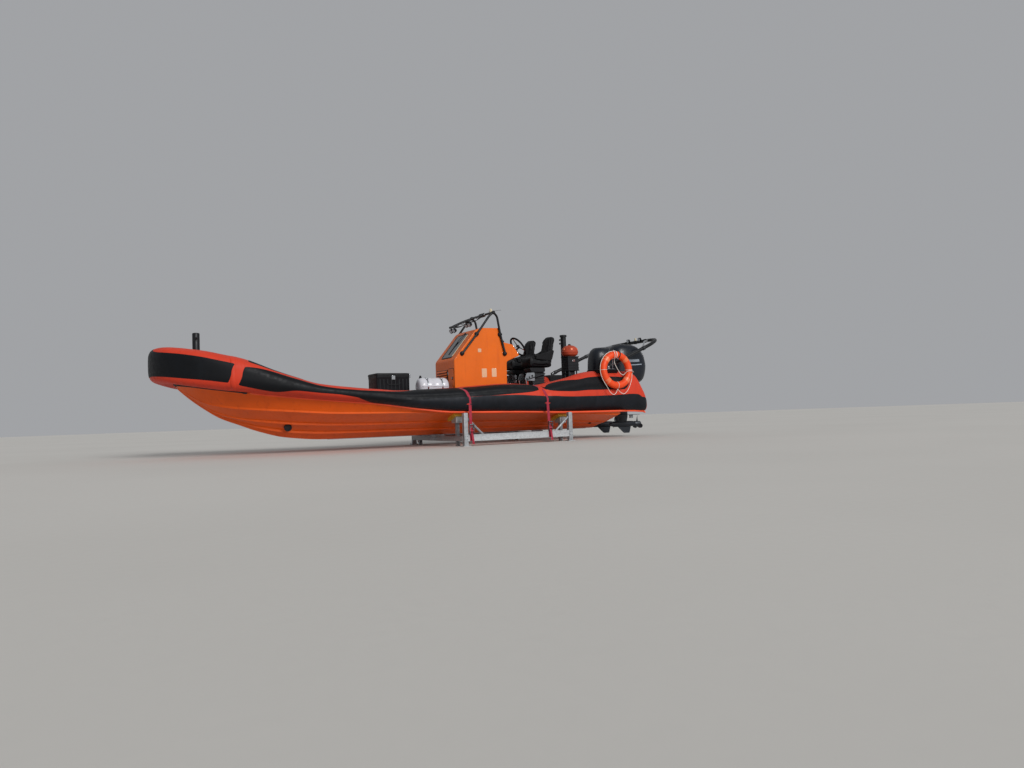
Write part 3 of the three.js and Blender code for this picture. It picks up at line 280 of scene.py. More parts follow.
# Moulded rubber sheet along the joint: dark grey, dull, with long rub marks
rubbing_rubber = finish_of(
    "rubbing_band_rubber", ("band", 1.5), 0.5, ior=1.32, mottle=180, grain=("peel", 7, 0.2), wear="353A40",
    dust=0.03, streaks="20242C",
)

# Extruded rubber edging: near black and matt
gasket_rubber = finish_of("extruded_gasket_rubber", ("0C0E11", "15181C"), 0.6, grain=("peel", 2, 0.05))

# Extruded orange strake, sun on its round face: brighter than the hull, lightly scuffed
strake_rubber = finish_of("extruded_orange_strake", ("strake", 0.84), 0.4, grain=("peel", 6, 0.1), wear="F7A07C")

# Non-slip deck moulding: grey with raised studs, studs drawn at 28 mm so that they show
deck_moulding = finish_of(
    "non_slip_deck_moulding", ("deck", 1.4), 0.75, grain=("studs", 28, 0.8), dust=0.26, wear="8C8F92"
)

# Powder-coated aluminium tube: black, satin, with the fine ripple that the powder leaves
black_powder_coat = finish_of(
    "black_powder_coated_aluminium", ("0B0D11", "14171B"), 0.42, ior=1.38, grain=("peel", 2, 0.06), wear="5C6064",
    dust=0.08,
)

# Black polyethylene moulding: soft sheen over a pebbled skin
black_moulding = finish_of(
    "black_polyethylene_moulding", ("0A0C10", "14161A"), 0.5, ior=1.34, grain=("cells", 3, 0.08), wear="34383D",
    dust=0.05,
)

# Marine vinyl over foam: black, leather grain, a low sheen where it is sat on. Grain drawn at 5 mm so that it shows
seat_vinyl = finish_of(
    "black_marine_vinyl", ("seats", 1.5), 0.55, ior=1.3, mottle=120, grain=("cells", 5, 0.12), dust=0.015
)

# Engine enamel under lacquer: deep blue-black with a mirror gloss
cowl_enamel = finish_of(
    "blue_black_engine_enamel", ("cowls", 1.4), 0.34, ior=1.4, coat=0.12, grain=("peel", 10, 0.04), dust=0.08
)

# Painted die casting: the same blue-black, duller, chipped on its edges
engine_casting = finish_of(
    "painted_engine_casting", ("12171F", "1D232B"), 0.42, ior=1.42, grain=("peel", 3, 0.1), wear="6C7278", dust=0.1
)

# Plain grey stripe film: flat colour, slightly glossier than what it lies on
grey_decal = finish_of("grey_stripe_film", ("stripes", 0.84), 0.3, grain=("peel", 20, 0.02))

# Polished stainless steel: bright, clear reflections, faint rubbing marks
stainless = finish_of(
    "polished_stainless_steel", ("C4C7CA", "B4B8BC"), 0.2, metallic=1.0, grain=("brushed", 3, 0.01)
)

# Cast stainless steel, dull with hardly a reflection left; its colour is darkened to brown-grey as painted shade for
# the shadow under the transom
shade_darkened_propeller_steel = finish_of("sea_dulled_cast_steel", ("55585C", "3E4144"), 0.5, metallic=1.0, grain=("peel", 4, 0.06))

# Zinc-plated steel: dull grey metal, softened reflections
zinc_plate = finish_of("zinc_plated_steel", ("9A9DA0", "7E8286"), 0.38, metallic=1.0, grain=("peel", 3, 0.05))

# Hot-dip galvanised box section: pale grey, matt, with the crystals of the zinc.
# Crystals drawn at 30 mm so that they show
cradle_metal = finish_of(
    "hot_dip_galvanised_steel", ("cradle", 0.7), 0.5, metallic=0.35, mottle=40, grain=("cells", 30, 0.06),
    wear="F0F1F2", dust=0.3, streaks="8E9499",
)

# Cast polyurethane pad: yellow, matt, stained by the hull
pad_rubber = finish_of(
    "cast_yellow_polyurethane", ("pads", 0.8), 0.55, mottle=60, grain=("peel", 5, 0.2), dust=0.3, streaks="8A6A2A"
)

# Woven polyester lashing: crimson, ribbed across, dull. Ribs drawn at 6 mm so that they show
strap_webbing = finish_of(
    "crimson_polyester_webbing", ("lashings", 0.75), 0.8, sheen=0.1, mottle=90, grain=("woven", 6, 0.6), dust=0.08
)

# Lifebuoy skin, blow-moulded polyethylene: orange, waxy, a little faded
ring_plastic = finish_of(
    "orange_lifebuoy_polyethylene", ("ring", 0.88), 0.45, ior=1.4, mottle=140, grain=("peel", 5, 0.12), dust=0.06
)

# Marker buoy of the same plastic, chalky and dull; its colour is darkened to brick red as painted shade for the shadow
# that it stands in
shade_darkened_buoy_plastic = finish_of(
    "sun_aged_buoy_polyethylene", ("B5452A", "96391F"), 0.6, ior=1.4, mottle=90, grain=("peel", 5, 0.15), dust=0.1
)

# Retro-reflective tape: pale orange-grey in daylight, a fine honeycomb
reflective_tape = finish_of("reflective_tape", ("F07E4E", "E66E42"), 0.35, grain=("cells", 6, 0.08))

# White canister moulded in glass fibre: clean gloss, grey dust on top
white_shell = finish_of(
    "white_glass_fibre_gelcoat", ("canister", 0.88), 0.3, coat=0.3, grain=("peel", 14, 0.1), dust=0.3,
    streaks="B8B6AE",
)

# Smoked acrylic sheet: near black, mirror smooth
screen_acrylic = finish_of("smoked_acrylic", ("10151A", "141A20"), 0.06, ior=1.49, coat=0.5, grain=("peel", 200, 0.02))

# Braided polyester line: off-white, dull, strands drawn at 8 mm so that they show
white_rope = finish_of("braided_white_line", ("EFEDE4", "DAD7CB"), 0.8, sheen=0.2, mottle=60, grain=("woven", 8, 0.8))

# White nylon fitting, yellowed by the sun: pale cream and satin
white_moulding = finish_of("white_nylon_fitting", ("D6CBAE", "C9BD9F"), 0.4)

# Pale vinyl plate, left blank: a thin satin skin with a slightly warm tone
blank_plate = finish_of("blank_vinyl_plate", ("E2B48E", "DAA982"), 0.38, grain=("peel", 30, 0.02))

# Display behind toughened glass, switched off: black and mirror smooth
dial_glass = finish_of("dark_display_glass", ("0A0D11", "0D1116"), 0.07, coat=0.6, grain=("peel", 200, 0.01))

# Lamp lens over a bright reflector: pale, glossy, with moulded ribs
lamp_glass = finish_of("ribbed_lamp_lens", ("CBD2D8", "AEB6BE"), 0.12, coat=0.6, grain=("cells", 12, 0.3))

# Painted studio floor: pale, matt and even
studio_floor = finish_of("pale_studio_floor", ("CFCCC6", "CBC8C2"), 0.85, mottle=4000, grain=("peel", 40, 0.02))


# Mesh code


def cosd(turn):
    return math.cos(math.radians(turn))


def sind(turn):
    return math.sin(math.radians(turn))


def clamp(share):
    return max(0.0, min(1.0, share))


def bulged(share, power):
    """A share raised to a power, with its own sign."""
    return math.copysign(abs(share) ** power, share)


def spans(first, second):
    """The x, y and z ranges between two corners."""
    return [sorted(pair) for pair in zip(first, second)]


def through(xs, ys):
    """A smooth curve through points, that never rises or falls past them."""
    steps = [b - a for a, b in zip(xs, xs[1:])]
    rises = [(b - a) / h for a, b, h in zip(ys, ys[1:], steps)]
    inner = [0.0 if p * q <= 0 else 2 * p * q / (p + q) for p, q in zip(rises, rises[1:])]
    slopes = [rises[0], *inner, rises[-1]]

    def value(x):
        x = min(max(x, xs[0]), xs[-1])
        i = min(bisect_right(xs, x) - 1, len(steps) - 1)
        h = steps[i]
        t = (x - xs[i]) / h
        u = 1 - t
        return (
            (1 + 2 * t) * u * u * ys[i]
            + t * u * u * h * slopes[i]
            + t * t * (3 - 2 * t) * ys[i + 1]
            - t * t * u * h * slopes[i + 1]
        )

    return value


def stations(columns, rows):
    """Curves by column name, over the first column of a table."""
    xs = [row[0] for row in rows]
    return {name: through(xs, [row[i] for row in rows]) for i, name in enumerate(columns.split()) if i}


def spread(start, end, count):
    return [start + (end - start) * i / (count - 1) for i in range(count)]


def circle(radius, count):
    """Points (a, b) round a circle, the last one on the first."""
    return [(radius * math.cos(t), radius * math.sin(t)) for t in spread(0, 2 * math.pi, count)]


ROUTE_CORNER, OUTLINE_CORNER = 0.49, 0.45  # the most of its side that a corner may take


def bend(before, corner, after, reach, most, turns):
    """Points of a short curve round a corner, from reach before it to reach after it."""
    back, ahead = before - corner, after - corner
    cut = min(reach, back.length * most, ahead.length * most)
    a, b = corner + back.normalized() * cut, corner + ahead.normalized() * cut
    return [a * (1 - t) ** 2 + corner * 2 * t * (1 - t) + b * t * t for t in spread(0, 1, turns)]


def rounded(route, reach, turns=5):
    """An open route with round corners."""
    points = [Vector(p) for p in route]
    corners = zip(points, points[1:], points[2:])
    return [points[0], *[p for three in corners for p in bend(*three, reach, ROUTE_CORNER, turns)], points[-1]]


def closed_round(outline, reach):
    """A closed flat outline with round corners."""
    points = [Vector(p) for p in outline]
    corners = zip([points[-1], *points], points, [*points[1:], points[0]])
    return [tuple(p) for three in corners for p in bend(*three, reach, OUTLINE_CORNER, 5)]


def round_box(x, y, reach, inset=0):
    """A rectangle with round corners, x and y each from low to high, drawn in by inset."""
    (west, east), (south, north) = (x[0] + inset, x[1] - inset), (y[0] + inset, y[1] - inset)
    return closed_round([(west, south), (east, south), (east, north), (west, north)], reach)


def ring_round(centre, way, across, radius, sides):
    """Points round a centre, square to way, the first one along across."""
    over = way.cross(across)
    turns = [2 * math.pi * k / sides for k in range(sides)]
    return [centre + across * (radius * math.cos(a)) + over * (radius * math.sin(a)) for a in turns]


class Shape:
    """Points, faces and finishes of one piece. Its side mirrors it to starboard, its place moves it."""

    def __init__(self, name, *finishes, side=PORT):
        self.name = name
        self.finishes = finishes
        self.side = side
        self.place = Matrix.Identity(4)
        self.points = []
        self.faces = []
        self.marks = []

    def add(self, points, faces, finish=0):
        first = len(self.points)
        for point in points:
            x, y, z = self.place @ Vector(point)
            self.points.append((x, self.side * y, z))
        self.faces += [[first + i for i in face] for face in faces]
        self.marks += [finish] * len(faces)

    def skin(self, rings, finish=0, closed=True, caps=True):
        """A skin over rings of points with the same count."""
        count = len(rings[0])
        runs = range(count) if closed else range(count - 1)
        faces = [
            (i * count + j, i * count + (j + 1) % count, (i + 1) * count + (j + 1) % count, (i + 1) * count + j)
            for i in range(len(rings) - 1)
            for j in runs
        ]
        if caps:
            faces += [list(range(count)), list(range((len(rings) - 1) * count, len(rings) * count))]
        self.add([p for ring in rings for p in ring], faces, finish)

    def box(self, x, y, z, finish=0):
        self.skin([[(a, y[0], z[0]), (a, y[1], z[0]), (a, y[1], z[1]), (a, y[0], z[1])] for a in x], finish)

    def slab(self, outline, low, high, finish=0):
        """A flat outline of (x, z) from low to high across the boat."""
        self.skin([[(x, y, z) for x, z in outline] for y in (low, high)], finish)

    def plate(self, outline, levels, finish=0):
        """A flat outline of (x, y) at each level."""
        self.skin([[(x, y, z) for x, y in outline] for z in levels], finish)

    def pipe(self, route, radius, sides=14, finish=0, shrink=None):
        """A round bar along a route. shrink gives its share of the radius at each point."""
        points = [Vector(p) for p in route]
        runs = [(b - a).normalized() for a, b in zip(points, points[1:])]
        ways = [runs[0], *[(p + q).normalized() for p, q in zip(runs, runs[1:])], runs[-1]]
        across = ways[0].orthogonal().normalized()
        rings = []
        for i, (point, way) in enumerate(zip(points, ways)):
            across = (across - way * across.dot(way)).normalized()
            rings.append(ring_round(point, way, across, radius * (shrink[i] if shrink else 1), sides))
        self.skin(rings, finish)

    def lathe(self, profile, start, way, sides=24, finish=0):
        """A turned body: profile is (distance along way, radius) from start."""
        way, start = Vector(way).normalized(), Vector(start)
        across = way.orthogonal().normalized()
        self.skin([ring_round(start + way * along, way, across, r, sides) for along, r in profile], finish)

    def ribbon(self, route, width_way, width, thick, finish=0):
        """A flat strip along a route, its width along width_way and its thickness across both."""
        points = [Vector(p) for p in route]
        wide = Vector(width_way).normalized() * (width / 2)
        rings = []
        for i, point in enumerate(points):
            run = points[min(i + 1, len(points) - 1)] - points[max(i - 1, 0)]
            lift = run.cross(wide).normalized() * (thick / 2)
            rings.append([point + wide + lift, point - wide + lift, point - wide - lift, point + wide - lift])
        self.skin(rings, finish)

    def build(self, *nodes, slot, body="boat", bevel=0.0, segments=2, crease=35):
        """Makes the object, smooth between its sharp edges, riding on a body and standing for nodes."""
        mesh = bpy.data.meshes.new(self.name)
        mesh.from_pydata([metres(p) for p in self.points], [], self.faces)
        made = put(self.name, mesh)
        for finish in self.finishes:
            mesh.materials.append(finish())
        mesh.polygons.foreach_set("material_index", self.marks)
        work = bmesh.new()
        work.from_mesh(mesh)
        bmesh.ops.recalc_face_normals(work, faces=work.faces)
        work.to_mesh(mesh)
        work.free()
        mesh.shade_smooth()
        mesh.set_sharp_from_angle(angle=math.radians(crease))
        soften(made, bevel, segments)
        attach(made, body)
        if nodes:
            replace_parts(made, *nodes)
        return made


def put(name, data):
    """A new object in the scene."""
    made = bpy.data.objects.new(name, data)
    bpy.context.scene.collection.objects.link(made)
    return made


EDGE_ANGLE = math.radians(32)  # edges sharper than this are rounded
WELD_REACH = 0.00002  # metres


def soften(made, bevel, segments=2):
    """Rounds the sharp edges of an object."""
    if bevel:
        edge = made.modifiers.new("edge", "BEVEL")
        edge.width = bevel / 1000
        edge.segments = segments
        edge.limit_method = "ANGLE"
        edge.angle_limit = EDGE_ANGLE
        edge.harden_normals = False


def dress(name, finish, bevel=3.0):
    """Keeps a frame node as it is, with rounded edges and its own finish."""
    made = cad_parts[name]
    made.data.materials.clear()
    made.data.materials.append(finish())
    made.modifiers.new("weld", "WELD").merge_threshold = WELD_REACH
    soften(made, bevel)


def bolt_heads(shape, spots, way, radius, finish=0):
    """Hexagon bolt heads on washers."""
    for spot in spots:
        shape.lathe([(0, radius * 1.6), (2.5, radius * 1.6)], spot, way, 16, finish)
        shape.lathe([(2.4, radius), (9, radius), (11, radius * 0.8)], spot, way, 6, finish)


def facing(origin, way):
    """A frame at origin whose local z looks along way and whose local y is nearest to upright."""
    z = Vector(way).normalized()
    x = Vector(UP).cross(z).normalized()
    turn = Matrix((x, z.cross(x), z)).transposed().to_4x4()
    return Matrix.Translation(Vector(origin)) @ turn


# Hull lines

HULL = stations(
    "x keel rail3_y rail3_z rail2_y rail2_z chine_y chine_z edge_y edge_z",
    [
        (-3300, 185, 240, 245, 500, 300, 930, 430, 1000, 490),
        (-2400, 187, 250, 265, 520, 340, 950, 470, 1010, 495),
        (-1200, 190, 260, 285, 530, 385, 960, 510, 1015, 530),
        (0, 190, 270, 297, 540, 412, 950, 548, 1015, 560),
        (500, 190, 270, 300, 535, 415, 935, 575, 1010, 612),
        (1200, 190, 260, 302, 510, 420, 890, 590, 990, 715),
        (1800, 192, 240, 312, 470, 435, 830, 605, 945, 775),
        (2400, 245, 190, 355, 395, 475, 730, 650, 860, 838),
        (2800, 350, 130, 425, 310, 520, 620, 685, 770, 888),
        (3100, 465, 80, 510, 220, 560, 500, 715, 670, 930),
        (3350, 565, 50, 595, 140, 630, 370, 750, 560, 970),
        (3600, 725, 35, 742, 75, 760, 215, 810, 410, 1012),
        (3800, 880, 32, 892, 50, 903, 110, 925, 270, 1050),
        (3950, 1020, 29, 1023, 34, 1027, 45, 1032, 120, 1075),
    ],
)
STERN_X, STEM_X = -3300, 3950
KEEL_HALF_WIDTH = 25
RAIL_SHARE = 0.34  # the widest that a spray rail may be, as a share of its panel
LIP_OUT, LIP_DEEP = 14, 22
DECK_TOP, DECK_UNDER, DECK_HALF = 825, 800, 600
FOOT = DECK_TOP + 1  # where the gear on the deck starts


def rail(start, end):
    """A spray rail at the end of a panel: a level ledge, then a step up to the next panel."""
    ledge = min(mm("rail_ledge"), RAIL_SHARE * (end[0] - start[0]))
    low = end[1] - ledge * (end[1] - start[1]) / (end[0] - start[0])
    return [(end[0] - ledge, low), (end[0], low - 1.5), (end[0] + 1, end[1])]


def hull_half(x):
    """The hull's section at x, port side, from the keel out and up to the deck, as (y, z)."""
    at = {name: curve(x) for name, curve in HULL.items()}
    lines = [(KEEL_HALF_WIDTH, at["keel"]), *[(at[k + "_y"], at[k + "_z"]) for k in ("rail3", "rail2", "chine")]]
    lip = max(at["edge_z"] - LIP_DEEP, at["chine_z"] + 4)
    top = max(DECK_UNDER, at["edge_z"] + 5)
    inner = min(DECK_HALF, max(at["edge_y"] - 300, 40))
    half = lines[:1] + [p for start, end in zip(lines, lines[1:]) for p in rail(start, end)]
    half += [(at["edge_y"] - 2, lip), (at["edge_y"] + LIP_OUT, lip + 2), (at["edge_y"] + LIP_OUT, at["edge_z"])]
    return half + [(inner, at["edge_z"]), (inner, top)]


def hull_shell():
    """Hull moulding, skinned from the transom to the stem."""
    shape = Shape("hull_shell", gelcoat)
    xs = spread(STERN_X, 1200, 46) + spread(1290, STEM_X, 34)
    rings = []
    for x in xs:
        half = hull_half(x)
        rings.append([(x, y, z) for y, z in half] + [(x, -y, z) for y, z in reversed(half)])
    shape.skin(rings)
    shape.build("hull", slot="gelcoat", bevel=2.5, crease=14)


def hull_fittings(side):
    """Two through-hull outlets with a flange, a large one forward and a small one aft."""
    shape = Shape(f"hull_outlets_{HANDS[side]}", gasket_rubber, black_moulding, side=side)
    for x, share, radius in ((2430, 0.42, 58), (-3050, 0.5, 26)):
        low, high = ((HULL[line + "_y"](x), HULL[line + "_z"](x)) for line in ("rail3", "rail2"))
        y, z = (a * (1 - share) + b * share for a, b in zip(low, high))
        # The forward one stands out of its panel and looks abeam, the after one lies flat on it
        way, out = ((0.1, 0.95, -0.3), 36) if x > 0 else ((0, high[1] - low[1], low[0] - high[0]), 0)
        profile = [(12, radius), (16, radius - 5), (15, radius - 12), (2, radius - 16), (2, 1)]
        profile = [(-30 - out, radius), *[(reach + out, size) for reach, size in profile]]
        shape.lathe(profile, (x, y, z), way, 28)
    shape.build(slot="black_moulding", bevel=1)


def gunwale_strake(side):
    """Half-round strake under the tube, and the bead that closes the joint in the bow."""
    shape = Shape(f"gunwale_strake_{HANDS[side]}", strake_rubber, gasket_rubber, gelcoat, side=side)
    route = [(x, HULL["edge_y"](x) + LIP_OUT - 4, HULL["edge_z"](x) - 8) for x in spread(3050, -3290, 90)]
    # Abaft the transom it draws in to the tube's underside, past a small flange, and ends in a loose tip
    under = [tube_point(x - CURVE_START, -76, 10) for x in spread(-3500, -3880, 9)]
    tail = smooth_route([route[-1], (-3390, 962, 481), *under, (-3930, 858, 460), (-3972, 856, 438)], 3)[1:]
    shape.pipe([*route, *tail], mm("strake_radius"), 12, shrink=[0.5, *[1] * (len(route) + len(tail) - 2), 0.5])
    flange = [(-3298, 1018), (-3298, 830), (-3560, 838), (-3490, 900), (-3390, 962)]
    shape.plate(flange, (474, 489), 2)
    bead = [(x, HULL["edge_y"](x) + 22, HULL["edge_z"](x) - 6) for x in spread(3120, 3940, 26)]
    bead += [(3966, 86, 1082), (3982, 44, 1086), (3986, -4, 1087)]
    shape.pipe(bead, 17, 12, finish=1)
    shape.lathe([(-38, 10), (-30, 21), (-4, 25), (24, 22), (40, 14)], bead[0], (1, -0.8, 0.1), 16, 1)
    shape.build(slot="tube_fabric")


# Tube lines

TUBE = stations(
    "x top centre_y half_width low square",
    [
        (-3960, 730, 820, 110, 470, 2.4),
        (-3880, 880, 820, 165, 470, 2.4),
        (-3680, 1160, 820, 205, 478, 2.4),
        (-3450, 1205, 820, 215, 482, 2.4),
        (-2960, 1210, 820, 215, 484, 2.4),
        (-2670, 1190, 830, 222, 486, 2.4),
        (-2230, 1085, 860, 250, 490, 2.4),
        (-1890, 1020, 878, 268, 498, 2.4),
        (-1600, 975, 885, 275, 508, 2.4),
        (-1080, 1000, 885, 275, 524, 2.4),
        (-150, 955, 885, 275, 548, 2.4),
        (400, 925, 885, 275, 594, 2.4),
        (840, 912, 885, 275, 654, 2.4),
        (1230, 938, 885, 275, 710, 2.4),
        (1600, 970, 885, 275, 746, 2.4),
        (2100, 1030, 885, 275, 794, 2.4),
        (2470, 1142, 885, 278, 839, 2.4),
        (2710, 1228, 885, 280, 869, 2.6),
        (3150, 1410, 885, 282, 932, 3),
        (3400, 1473, 885, 285, 962, 3.3),
        (3600, 1525, 885, 288, 994, 3.6),
        (3850, 1575, 885, 290, 1046, 4),
        (4040, 1618, 885, 290, 1100, 4),
    ],
)
TUBE_CENTRE_Y = 885
CURVE_START, TUBE_FRONT, BOW_ROUNDNESS = 1600, 4040, 2.3
TURN_LENGTH = 1400  # length along the tube for each radian of the bow curve
BAFFLE_X, SEAM_X, STERN_END = -1600, 3250, -3958
BOW_TIP = TURN_LENGTH * math.pi / 2  # places along the tube are counted from where the bow curve starts
SEAM = TURN_LENGTH * math.asin(((SEAM_X - CURVE_START) / (TUBE_FRONT - CURVE_START)) ** (BOW_ROUNDNESS / 2))


def tube_path(place):
    """Centre and outward direction in plan at a place along the tube, port side to the bow tip and on."""
    if place <= 0:
        x = CURVE_START + place
        return x, TUBE["centre_y"](x), 0.0, 1.0
    angle = place / TURN_LENGTH
    reach = TUBE_FRONT - CURVE_START
    c, s = math.cos(angle), math.sin(angle)
    x = CURVE_START + reach * abs(s) ** (2 / BOW_ROUNDNESS)
    y = TUBE_CENTRE_Y * bulged(c, 2 / BOW_ROUNDNESS)
    along = ((x - CURVE_START) / reach) ** (BOW_ROUNDNESS - 1) / reach
    across = bulged(y / TUBE_CENTRE_Y, BOW_ROUNDNESS - 1) / TUBE_CENTRE_Y
    size = math.hypot(along, across)
    return x, y, along / size, across / size


STRAP_TURNS = {  # each strap's place on the tube: x over the top, x at the outside, x at its foot
    "fore": (-110, -240, -250),
    "aft": (-1500, -1690, -1720),
}


def strap_x(turns, turn):
    """Where a strap lies at a turn in degrees round the tube, from over the top to the outside."""
    top_x, side_x, _ = turns
    return top_x + (side_x - top_x) * clamp((100 - turn) / 100)


@functools.cache
def fold_depth():
    return mm("tube_fold")


SOFT_FORE, SOFT_AFT, SOFT_RAMP = 1500, -3700, 900  # the tube is slack between two x, with a ramp at each


def hump(away, width):
    """1 in the middle, falling off to nothing within a few widths."""
    return math.exp(-((away / width) ** 2))


def slack(place, turn):
    """How far the soft tube lies inside its full shape, at a turn in degrees round it from outermost."""
    x = CURVE_START + min(place, 0)
    soft = clamp((SOFT_FORE - x) / SOFT_RAMP) * clamp((x - SOFT_AFT) / SOFT_RAMP)
    wave = noise.noise(Vector((x / 420, turn / 55, 0.3))) * 7 + noise.noise(Vector((x / 130, turn / 30, 4.1))) * 2.5
    fold = fold_depth() * hump(turn - 12 + 6 * math.sin(x / 700), 9)
    hollow = 9 * hump(turn - 62, 20) * hump(x + 700, 900)
    gather = 8 * math.exp(-abs(x - BAFFLE_X) / 150) * (0.5 + 0.5 * math.sin(turn / 4.6))
    pinch = 0.0
    if -20 < turn < 150:
        pinch = sum(12 * hump(x - strap_x(turns, turn), 60) for turns in STRAP_TURNS.values())
    return soft * (wave + fold + hollow + gather) + pinch


def tube_point(place, turn, out=0.0):
    """A point on the slack tube, out from its skin."""
    x, y, nx, ny = tube_path(place)
    side_place = place if place < BOW_TIP else 2 * BOW_TIP - place
    lift = out - slack(side_place, turn)
    low, high = TUBE["low"](x) - lift, TUBE["top"](x) + lift
    power = 2 / TUBE["square"](x)
    away = (TUBE["half_width"](x) + lift) * bulged(cosd(turn), power)
    up = (low + high) / 2 + (high - low) / 2 * bulged(sind(turn), power)
    return (x + nx * away, y + ny * away, up)


@functools.cache
def place_at(x):
    """The place whose outermost point lies at x, on the port side."""
    low, high = STERN_END - CURVE_START, BOW_TIP
    for _ in range(40):
        middle = (low + high) / 2
        path = tube_path(middle)
        if path[0] + path[2] * TUBE["half_width"](path[0]) < x:
            low = middle
        else:
            high = middle
    return low


def turn_at(place, z):
    """Degrees round the tube at which its outer side reaches a height."""
    x = tube_path(place)[0]
    low, high = TUBE["low"](x), TUBE["top"](x)
    share = max(-1.0, min(1.0, (2 * z - low - high) / (high - low)))
    return math.degrees(math.asin(bulged(share, TUBE["square"](x) / 2)))


TUBE_SIDES = 72


def tube_chamber(name, start, end, step, side, node_name):
    """One chamber of the tube, from start to end along it."""
    shape = Shape(name, tube_cloth, side=side)
    turns = [t if t <= 270 else t - 360 for t in spread(0, 360, TUBE_SIDES + 1)[:-1]]
    count = max(6, round((end - start) / step))
    shape.skin([[tube_point(place, t) for t in turns] for place in spread(start, end, count)])
    shape.build(node_name, slot="tube_fabric", crease=60)


PATCH_STEP, PATCH_ROWS = 24, 26


def tube_patch(name, finish, places, low, high, side=PORT, corner=60, extra=0.0, lean=(0, 0)):
    """A glued panel on the tube between two borders, in degrees round it, with round corners.

    lean is how far the upper corner of its first and last end stands ahead of the lower one.
    """
    shape = Shape(name, finish, side=side)
    start, end = places
    count = max(8, round((end - start) / PATCH_STEP))
    ends = [start + corner * t for t in (0, 0.06, 0.2, 0.45)]
    tail = [end - corner * t for t in (0.45, 0.2, 0.06, 0)]
    stops = ends + spread(start + corner, end - corner, count) + tail
    rings = []
    for place in stops:
        depth = min(1.0, min(place - start, end - place) / corner)
        lift = mm("panel_lift") + extra
        girth = math.pi / 180 * 0.5 * (TUBE["half_width"](tube_path(place)[0]) + 230)
        tuck = corner * (1 - math.sqrt(max(0.0, 1 - (1 - depth) ** 2))) / girth
        a, b = low(place) + tuck, high(place) - tuck
        along = (place - start) / (end - start)
        slant = lean[0] * (1 - along) ** 2 + lean[1] * along**2
        row = [(a - 0.2, -3), *[(t, lift) for t in spread(a, b, PATCH_ROWS)], (b + 0.2, -3)]
        rings.append([tube_point(place + slant * ((t - a) / (b - a) - 0.5), t, out) for t, out in row])
    shape.skin(rings, closed=False, caps=False)
    shape.build(slot="tube_fabric", crease=70)


def border(rows):
    """Two borders from a table of x, low z, high z and degrees that the upper one goes on past its height."""
    rows = sorted(rows)
    places = [place_at(row[0]) for row in rows]
    low = through(places, [turn_at(p, row[1]) for p, row in zip(places, rows)])
    high = through(places, [turn_at(p, row[2]) + row[3] for p, row in zip(places, rows)])
    return (places[0], places[-1]), low, high


BOW_PATCH = [
    (3345, 1052, 1330, 0),
    (3600, 1090, 1395, 0),
    (3970, 1140, 1475, 0),
    (4230, 1180, 1520, 0),
    (4300, 1190, 1530, 6),
    (4328, 1190, 1545, 24),
]
MAIN_PATCH = [
    (-1545, 880, 960, 4),
    (-1440, 858, 990, -16),
    (-1090, 828, 1000, -20),
    (-560, 797, 980, -20),
    (-300, 792, 965, -20),
    (-100, 768, 955, -18),
    (500, 740, 920, 0),
    (870, 716, 895, 0),
    (1210, 712, 898, 0),
    (1880, 860, 948, 0),
    (2410, 915, 1072, 0),
    (2760, 912, 1188, 0),
    (3215, 1012, 1285, 0),
]
LOWER_BAND = [
    (-3945, 484, 670, 0),
    (-3780, 488, 735, 0),
    (-2830, 495, 760, 0),
    (-2000, 500, 762, 0),
    (-1500, 515, 782, 0),
    (-100, 555, 785, 0),
    (500, 620, 765, 0),
    (1180, 712, 732, 0),
]
INNER_PATCH = [(2330, 82, 120), (2560, 70, 150), (2800, 60, 158), (3130, 52, 156)]  # x, then degrees round the tube
AFT_PATCH = [
    (-3500, 868, 1080, 0),
    (-2910, 868, 1105, 0),
    (-2470, 860, 1062, 0),
    (-1970, 858, 1018, 0),
    (-1660, 880, 955, 0),
]


def tube_patches(side):
    """The black panels and the rubbing band on one side of the tube."""
    name = HANDS[side]
    for label, rows, corner in (("main", MAIN_PATCH, 24), ("aft", AFT_PATCH, 110)):
        tube_patch(f"tube_patch_{label}_{name}", patch_cloth, *border(rows), side, corner, lean=(0, -55))
    places = [place_at(row[0]) for row in INNER_PATCH]
    low, high = (through(places, [row[i] for row in INNER_PATCH]) for i in (1, 2))
    tube_patch(f"tube_patch_inner_{name}", patch_cloth, (places[0], places[-1]), low, high, side, 30)
    tube_patch(f"tube_band_{name}", rubbing_rubber, *border(LOWER_BAND), side, 20, extra=1.5)


def bow_patch():
    """The black panel that wraps round the bow."""
    (start, end), low, high = border(BOW_PATCH)
    fold = 2 * BOW_TIP

    def mirrored(edge):
        return lambda place: edge(min(place, fold - place, end))

    places = (start, fold - start)
    tube_patch("tube_patch_bow", patch_cloth, places, mirrored(low), mirrored(high), corner=16, lean=(-60, 60))


def seam_tapes(side):
    """Glued tapes round the tube, over the seams between its chambers and before its cone."""
    shape = Shape(f"tube_tapes_{HANDS[side]}", tube_cloth, side=side)
    for place, width in ((BAFFLE_X - CURVE_START, 70), (SEAM, 55), (-2960 - CURVE_START, 45)):
        start, end = place - width / 2, place + width / 2
        row = ((start, -3), (start + 2, 1.6), (end - 2, 1.6), (end, -3))
        rings = [[tube_point(p, t, out) for p, out in row] for t in spread(-62, 236, 60)]
        shape.skin(rings, closed=False, caps=False)
    shape.build(slot="tube_fabric", crease=70)


def inflation_valves(side):
    """Capped valves along the tube's upper inner side."""
    name = HANDS[side]
    shape = Shape(f"tube_valves_{name}", black_moulding, side=side)
    for x in (2150, -700, -2500):
        place = x - CURVE_START if x < CURVE_START else place_at(x)
        spot, above = Vector(tube_point(place, 128, 0)), Vector(tube_point(place, 128, 10))
        shape.lathe([(-4, 34), (2, 34), (4, 30), (4, 24), (9, 23), (13, 18), (14, 2)], spot, above - spot, 24)
    shape.build(slot="black_moulding")


# Console and helm

